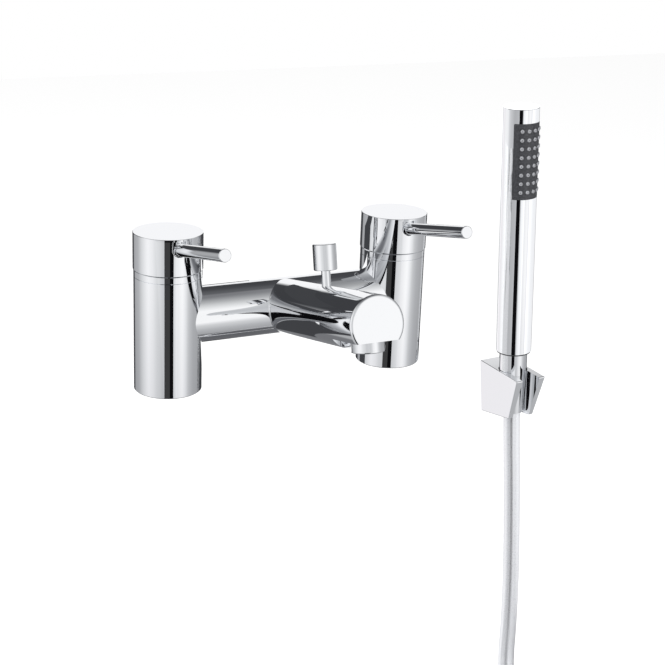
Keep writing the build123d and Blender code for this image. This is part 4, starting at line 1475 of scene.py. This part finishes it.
@dataclass
class Studio:
    """The white room: camera, floor, soft lamp and cards, in metres.

    The ramps give the room's shade by the angle in degrees: front, back and the levels run from the
    ground to the ceiling, and sides and the turns run round the room, where 0 is ahead of the spout.
    """

    camera_place: Point = (-0.44535, -0.95739, 0.39075)
    camera_right: Point = (0.89615, -0.44225, 0.03641)
    camera_up: Point = (0.11134, 0.30352, 0.94630)
    camera_back: Point = (-0.42955, -0.84397, 0.32124)
    focal_px: float = 1500.32
    image_px: float = 665.0
    sensor_mm: float = 36.0
    floor_height: float = -0.455
    floor_gap: float = 0.0005
    floor_half: float = 4.0
    floor_glow: float = 0.35
    room_light: float = 0.6
    shine: float = 1.1
    window_colour: str = "f5f5f6"
    lamp_place: Point = (-0.6, -0.9, 1.6)
    lamp_across: float = 1.6
    lamp_watts: float = 34.0
    cards: tuple[Card, ...] = (
        Card("black_card", (-0.400, -0.499, -0.9), (-0.127, -0.891, 0.0), BLACK, bounces=(0, 1)),
        Card("side_card", (-0.135, -0.211, -0.3), (-0.238, -0.152, 0.25), BLACK, bounces=(2, 9)),
        Card("far_card", (-0.176, -0.256, -0.772), (0.088, -0.432, 0.0), BLACK, bounces=(2, 9)),
        Card("white_rim_card", (-0.040, 0.080, -0.020), (0.125, 0.080, 0.050), WHITE, 1.1),
        Card("dark_wall_card", (-0.125, 0.090, -0.080), (0.010, 0.090, 0.080), DARK),
        Card("hot_lever_card", (-0.064, 0.030, 0.088), (0.010, 0.030, 0.112), DARK),
        Card("cold_lever_card", (0.118, 0.030, 0.088), (0.190, 0.030, 0.112), DARK),
        Card("pillar_edge_card", (0.150, 0.120, -0.100), (0.150, 0.018, 0.130), DARK, one_sided=True),
        Card("divider", (0.150, -0.040, -0.350), (0.150, 0.470, 0.190), DIVIDER, one_sided=True),
    )
    panels: tuple[Panel, ...] = (
        Panel("left_panel", (-0.025, 0.35, -0.1), (0.0, -1.0, 0.0), (0.95, 1.2), 0.52, HANDSET),
        Panel("right_panel", (0.60, 0.225, -0.1), (-1.0, 0.0, 0.0), (0.75, 1.2), 0.42, HANDSET),
        Panel("front_panel", (0.162, -0.852, -0.1), (0.07, 0.99, 0.0), (0.36, 1.4), 0.28, HANDSET),
        Panel(
            "card_sheen", (-0.2635, -0.695, -0.1), (0.821, 0.571, 0.0), (0.478, 1.6), 0.035, MIXER_CHROME
        ),
    )
    front: tuple[tuple[float, str], ...] = (
        (-90, "7a7b7e"),
        (-70, "66676b"),
        (-66, "5c5d60"),
        (-62, "a2a3a5"),
        (-46, "b4b5b7"),
        (-30, "d2d3d4"),
        (-22, "eeeeef"),
        (-17, "ffffff"),
        (24, "ffffff"),
        (39, "dcdddd"),
        (53, "b5b6b7"),
        (63, "999a9c"),
        (68, "818285"),
        (90, "727376"),
    )
    back: tuple[tuple[float, str], ...] = (
        (-90, "5c5d60"),
        (-50, "646568"),
        (-26, "808184"),
        (-21, "3c3d40"),
        (20, "3c3d40"),
        (51, "46474a"),
        (75, "68696c"),
        (90, "727376"),
    )
    sides: tuple[tuple[float, str], ...] = (
        (-180, "9c9d9f"),
        (-166, "a0a1a3"),
        (-134, "b2b3b5"),
        (-114, "d8d9da"),
        (-95, "f0f0f1"),
        (-88, "f5f5f6"),
        (-72, "ececed"),
        (-58, "dadbdc"),
        (-45, "d1d2d3"),
        (-35, "c3c4c6"),
        (-10, "cccdce"),
        (1, "d8d9da"),
        (8, "ececed"),
        (22, "f8f8f8"),
        (29, "fbfbfb"),
        (36, "f2f2f3"),
        (44, "e2e3e4"),
        (52, "cbcccd"),
        (60, "bebfc1"),
        (74, "afb0b2"),
        (101, "a5a6a8"),
        (112, "adaeb0"),
    )
    sides_fade: tuple[tuple[float, str], ...] = (
        (-60, "404040"),
        (-40, "404040"),
        (-28, "ffffff"),
        (25, "ffffff"),
        (45, "808080"),
    )
    behind_low: tuple[tuple[float, str], ...] = (
        (-180, "ffffff"),
        (-168, "ffffff"),
        (-164, "000000"),
        (112, "000000"),
        (116, "ffffff"),
    )
    behind_high: tuple[tuple[float, str], ...] = (
        (-180, "ffffff"),
        (-140, "ffffff"),
        (-128, "000000"),
        (98, "000000"),
        (112, "ffffff"),
    )
    behind_level: tuple[tuple[float, str], ...] = ((-4, "000000"), (4, "ffffff"))
    window_turn: tuple[tuple[float, str], ...] = (
        (132, "000000"),
        (138, "ffffff"),
        (166, "ffffff"),
        (172, "000000"),
    )
    window_level: tuple[tuple[float, str], ...] = (
        (-16, "000000"),
        (-13, "ffffff"),
        (22, "ffffff"),
        (25, "000000"),
    )

    def set_camera(self) -> None:
        """Place the camera where the photograph was taken from."""
        data = bpy.data.cameras.new("photo_camera")
        data.sensor_width = self.sensor_mm
        data.lens = self.focal_px / self.image_px * self.sensor_mm
        camera = bpy.data.objects.new("photo_camera", data)
        bpy.context.scene.collection.objects.link(camera)
        axes = Matrix((self.camera_right, self.camera_up, self.camera_back)).transposed()
        camera.matrix_world = Matrix.Translation(self.camera_place) @ axes.to_4x4()
        bpy.context.scene.camera = camera

    def set_floor(self) -> None:
        """Lay a plain pale floor under the coil."""
        bm = bmesh.new()
        bmesh.ops.create_grid(bm, x_segments=8, y_segments=8, size=self.floor_half)
        bmesh.ops.translate(bm, verts=bm.verts, vec=(0, 0, self.floor_height - self.floor_gap))
        mesh = bpy.data.meshes.new("floor")
        bm.to_mesh(mesh)
        bm.free()
        made = bpy.data.materials.new("matt_white_paper")
        made.use_nodes = True
        tree = made.node_tree
        tree.nodes.clear()
        paper = add_node(tree, "ShaderNodeBsdfDiffuse", inputs={"Color": linear("ffffff")})
        glow = add_node(
            tree,
            "ShaderNodeEmission",
            inputs={"Color": linear("ffffff"), "Strength": self.floor_glow},
        )
        both = add_node(tree, "ShaderNodeAddShader", inputs={0: paper.outputs[0], 1: glow.outputs[0]})
        add_node(tree, "ShaderNodeOutputMaterial", inputs={"Surface": both.outputs[0]})
        floor = bpy.data.objects.new("floor", mesh)
        mesh.materials.append(made)
        bpy.context.scene.collection.objects.link(floor)
        floor.visible_glossy = False

    def ramp(
        self,
        tree: bpy.types.NodeTree,
        angle: bpy.types.NodeSocket,
        span: float,
        stops: Sequence[tuple[float, str]],
    ) -> bpy.types.NodeSocket:
        """Run an angle in radians through a ramp whose stops are in degrees.

        Args:
            tree: The world's tree.
            angle: The angle's socket.
            span: The angle's largest value in degrees, the same on both sides of zero.
            stops: The angle and the sRGB hex colour of each stop.

        Returns:
            The socket with the colour.
        """
        limit = radians(span)
        share = add_node(
            tree,
            "ShaderNodeMapRange",
            inputs={"Value": angle, "From Min": -limit, "From Max": limit},
        )
        node = add_node(tree, "ShaderNodeValToRGB", inputs={"Fac": share.outputs["Result"]})
        set_ramp(node, [((at + span) / (2 * span), colour) for at, colour in stops])
        return node.outputs["Color"]

    def blend(
        self,
        tree: bpy.types.NodeTree,
        share: float | bpy.types.NodeSocket,
        first: bpy.types.NodeSocket,
        second: bpy.types.NodeSocket | tuple[float, float, float, float],
        kind: str = "MIX",
    ) -> bpy.types.NodeSocket:
        """Mix two colours of the room.

        Args:
            tree: The world's tree.
            share: How much of the second colour there is.
            first: The first colour's socket.
            second: The second colour.
            kind: The way of mixing.

        Returns:
            The mixed colour's socket.
        """
        node = add_node(
            tree,
            "ShaderNodeMix",
            {"data_type": "RGBA", "blend_type": kind},
            {0: share, 6: first, 7: second},
        )
        return node.outputs[2]

    def mirror_room(self, tree: bpy.types.NodeTree) -> bpy.types.NodeSocket:
        """Build what the metal sees: white walls, a grey ground, a dark doorway and a window behind.

        Args:
            tree: The world's tree.

        Returns:
            The socket with the room's colour.
        """
        place = add_node(tree, "ShaderNodeTexCoord")
        apart = add_node(tree, "ShaderNodeSeparateXYZ", inputs={"Vector": place.outputs["Generated"]})
        level = add_node(tree, "ShaderNodeMath", {"operation": "ARCSINE"}, {0: apart.outputs["Z"]})
        forward = add_node(
            tree,
            "ShaderNodeMath",
            {"operation": "MULTIPLY"},
            {0: apart.outputs["Y"], 1: -1.0},
        )
        turn = add_node(
            tree,
            "ShaderNodeMath",
            {"operation": "ARCTAN2"},
            {0: apart.outputs["X"], 1: forward.outputs[0]},
        )
        up, around = level.outputs[0], turn.outputs[0]
        front = self.ramp(tree, up, LEVEL_SPAN, self.front)
        back = self.ramp(tree, up, LEVEL_SPAN, self.back)
        sides = self.ramp(tree, around, TURN_SPAN, self.sides)
        fade = self.ramp(tree, up, LEVEL_SPAN, self.sides_fade)
        walls = self.blend(tree, fade, front, sides, "MULTIPLY")
        low = self.ramp(tree, around, TURN_SPAN, self.behind_low)
        high = self.ramp(tree, around, TURN_SPAN, self.behind_high)
        raised = self.ramp(tree, up, LEVEL_SPAN, self.behind_level)
        behind = self.blend(tree, raised, low, high)
        window_turn = self.ramp(tree, around, TURN_SPAN, self.window_turn)
        window_level = self.ramp(tree, up, LEVEL_SPAN, self.window_level)
        window = self.blend(tree, 1.0, window_turn, window_level, "MULTIPLY")
        room = self.blend(tree, behind, walls, back)
        return self.blend(tree, window, room, linear(self.window_colour))

    def set_world(self) -> None:
        """Light the room evenly, show the metal its own room and the camera a white background."""
        world = bpy.data.worlds.new("white_room")
        bpy.context.scene.world = world
        world.use_nodes = True
        tree = world.node_tree
        tree.nodes.clear()
        room, white = self.mirror_room(tree), linear("ffffff")
        seen = add_node(tree, "ShaderNodeLightPath")
        lights = []
        for colour, strength in ((white, self.room_light), (room, self.shine), (white, 1.0)):
            light = add_node(
                tree,
                "ShaderNodeBackground",
                inputs={"Color": colour, "Strength": strength},
            )
            lights.append(light.outputs[0])
        plain, mirrored, background = lights
        shine = add_node(
            tree,
            "ShaderNodeMixShader",
            inputs={0: seen.outputs["Is Glossy Ray"], 1: plain, 2: mirrored},
        )
        final = add_node(
            tree,
            "ShaderNodeMixShader",
            inputs={0: seen.outputs["Is Camera Ray"], 1: shine.outputs[0], 2: background},
        )
        add_node(tree, "ShaderNodeOutputWorld", inputs={"Surface": final.outputs[0]})

    def set_lamp(self) -> None:
        """Hang one soft lamp overhead, which the mirror surfaces don't show."""
        data = bpy.data.lights.new("soft_lamp", "AREA")
        data.shape = "DISK"
        data.size = self.lamp_across
        data.energy = self.lamp_watts
        lamp = bpy.data.objects.new("soft_lamp", data)
        lamp.location = self.lamp_place
        lamp.rotation_euler = (-lamp.location).to_track_quat("-Z", "Y").to_euler()
        lamp.visible_glossy = False
        bpy.context.scene.collection.objects.link(lamp)

    def build(self) -> None:
        """Set up the whole room."""
        bpy.context.scene.view_settings.view_transform = "Standard"
        self.set_camera()
        self.set_floor()
        for card in self.cards:
            card.build()
        for panel in self.panels:
            panel.build()
        self.set_world()
        self.set_lamp()


FINISHES: dict[str, Finish] = {
    "chrome_plate": CHROME,
    "bare_brass": BRASS,
    "alumina_ceramic": CERAMIC,
    "seal_rubber": RUBBER,
    "stainless_screw": STAINLESS,
    "white_acetal": ACETAL,
    "hose_jacket": HOSE_VINYL,
    "grey_spray_plastic": SPRAY_PLASTIC,
    "nozzle_silicone": SILICONE,
    "black_plastic": BLACK_PLASTIC,
}


def main() -> None:
    """Load the frame, build the sub-assemblies in order and set up the room."""
    logging.basicConfig(level=logging.INFO, format="%(message)s")
    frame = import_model()
    kit = Kit(frame["nodes"], {part["node"]: part["material_slot"] for part in frame["record"]["subparts"]})
    groups = [Hose(), MixerBody(), Diverter(), Aerator(), ShowerOutlet(), Holder(), Handset()]
    for side in Side:
        groups += [Cartridge(side), Handle(side)]
    for group in groups:
        group.build(kit)
    Studio().build()


if __name__ == "__main__":
    main()
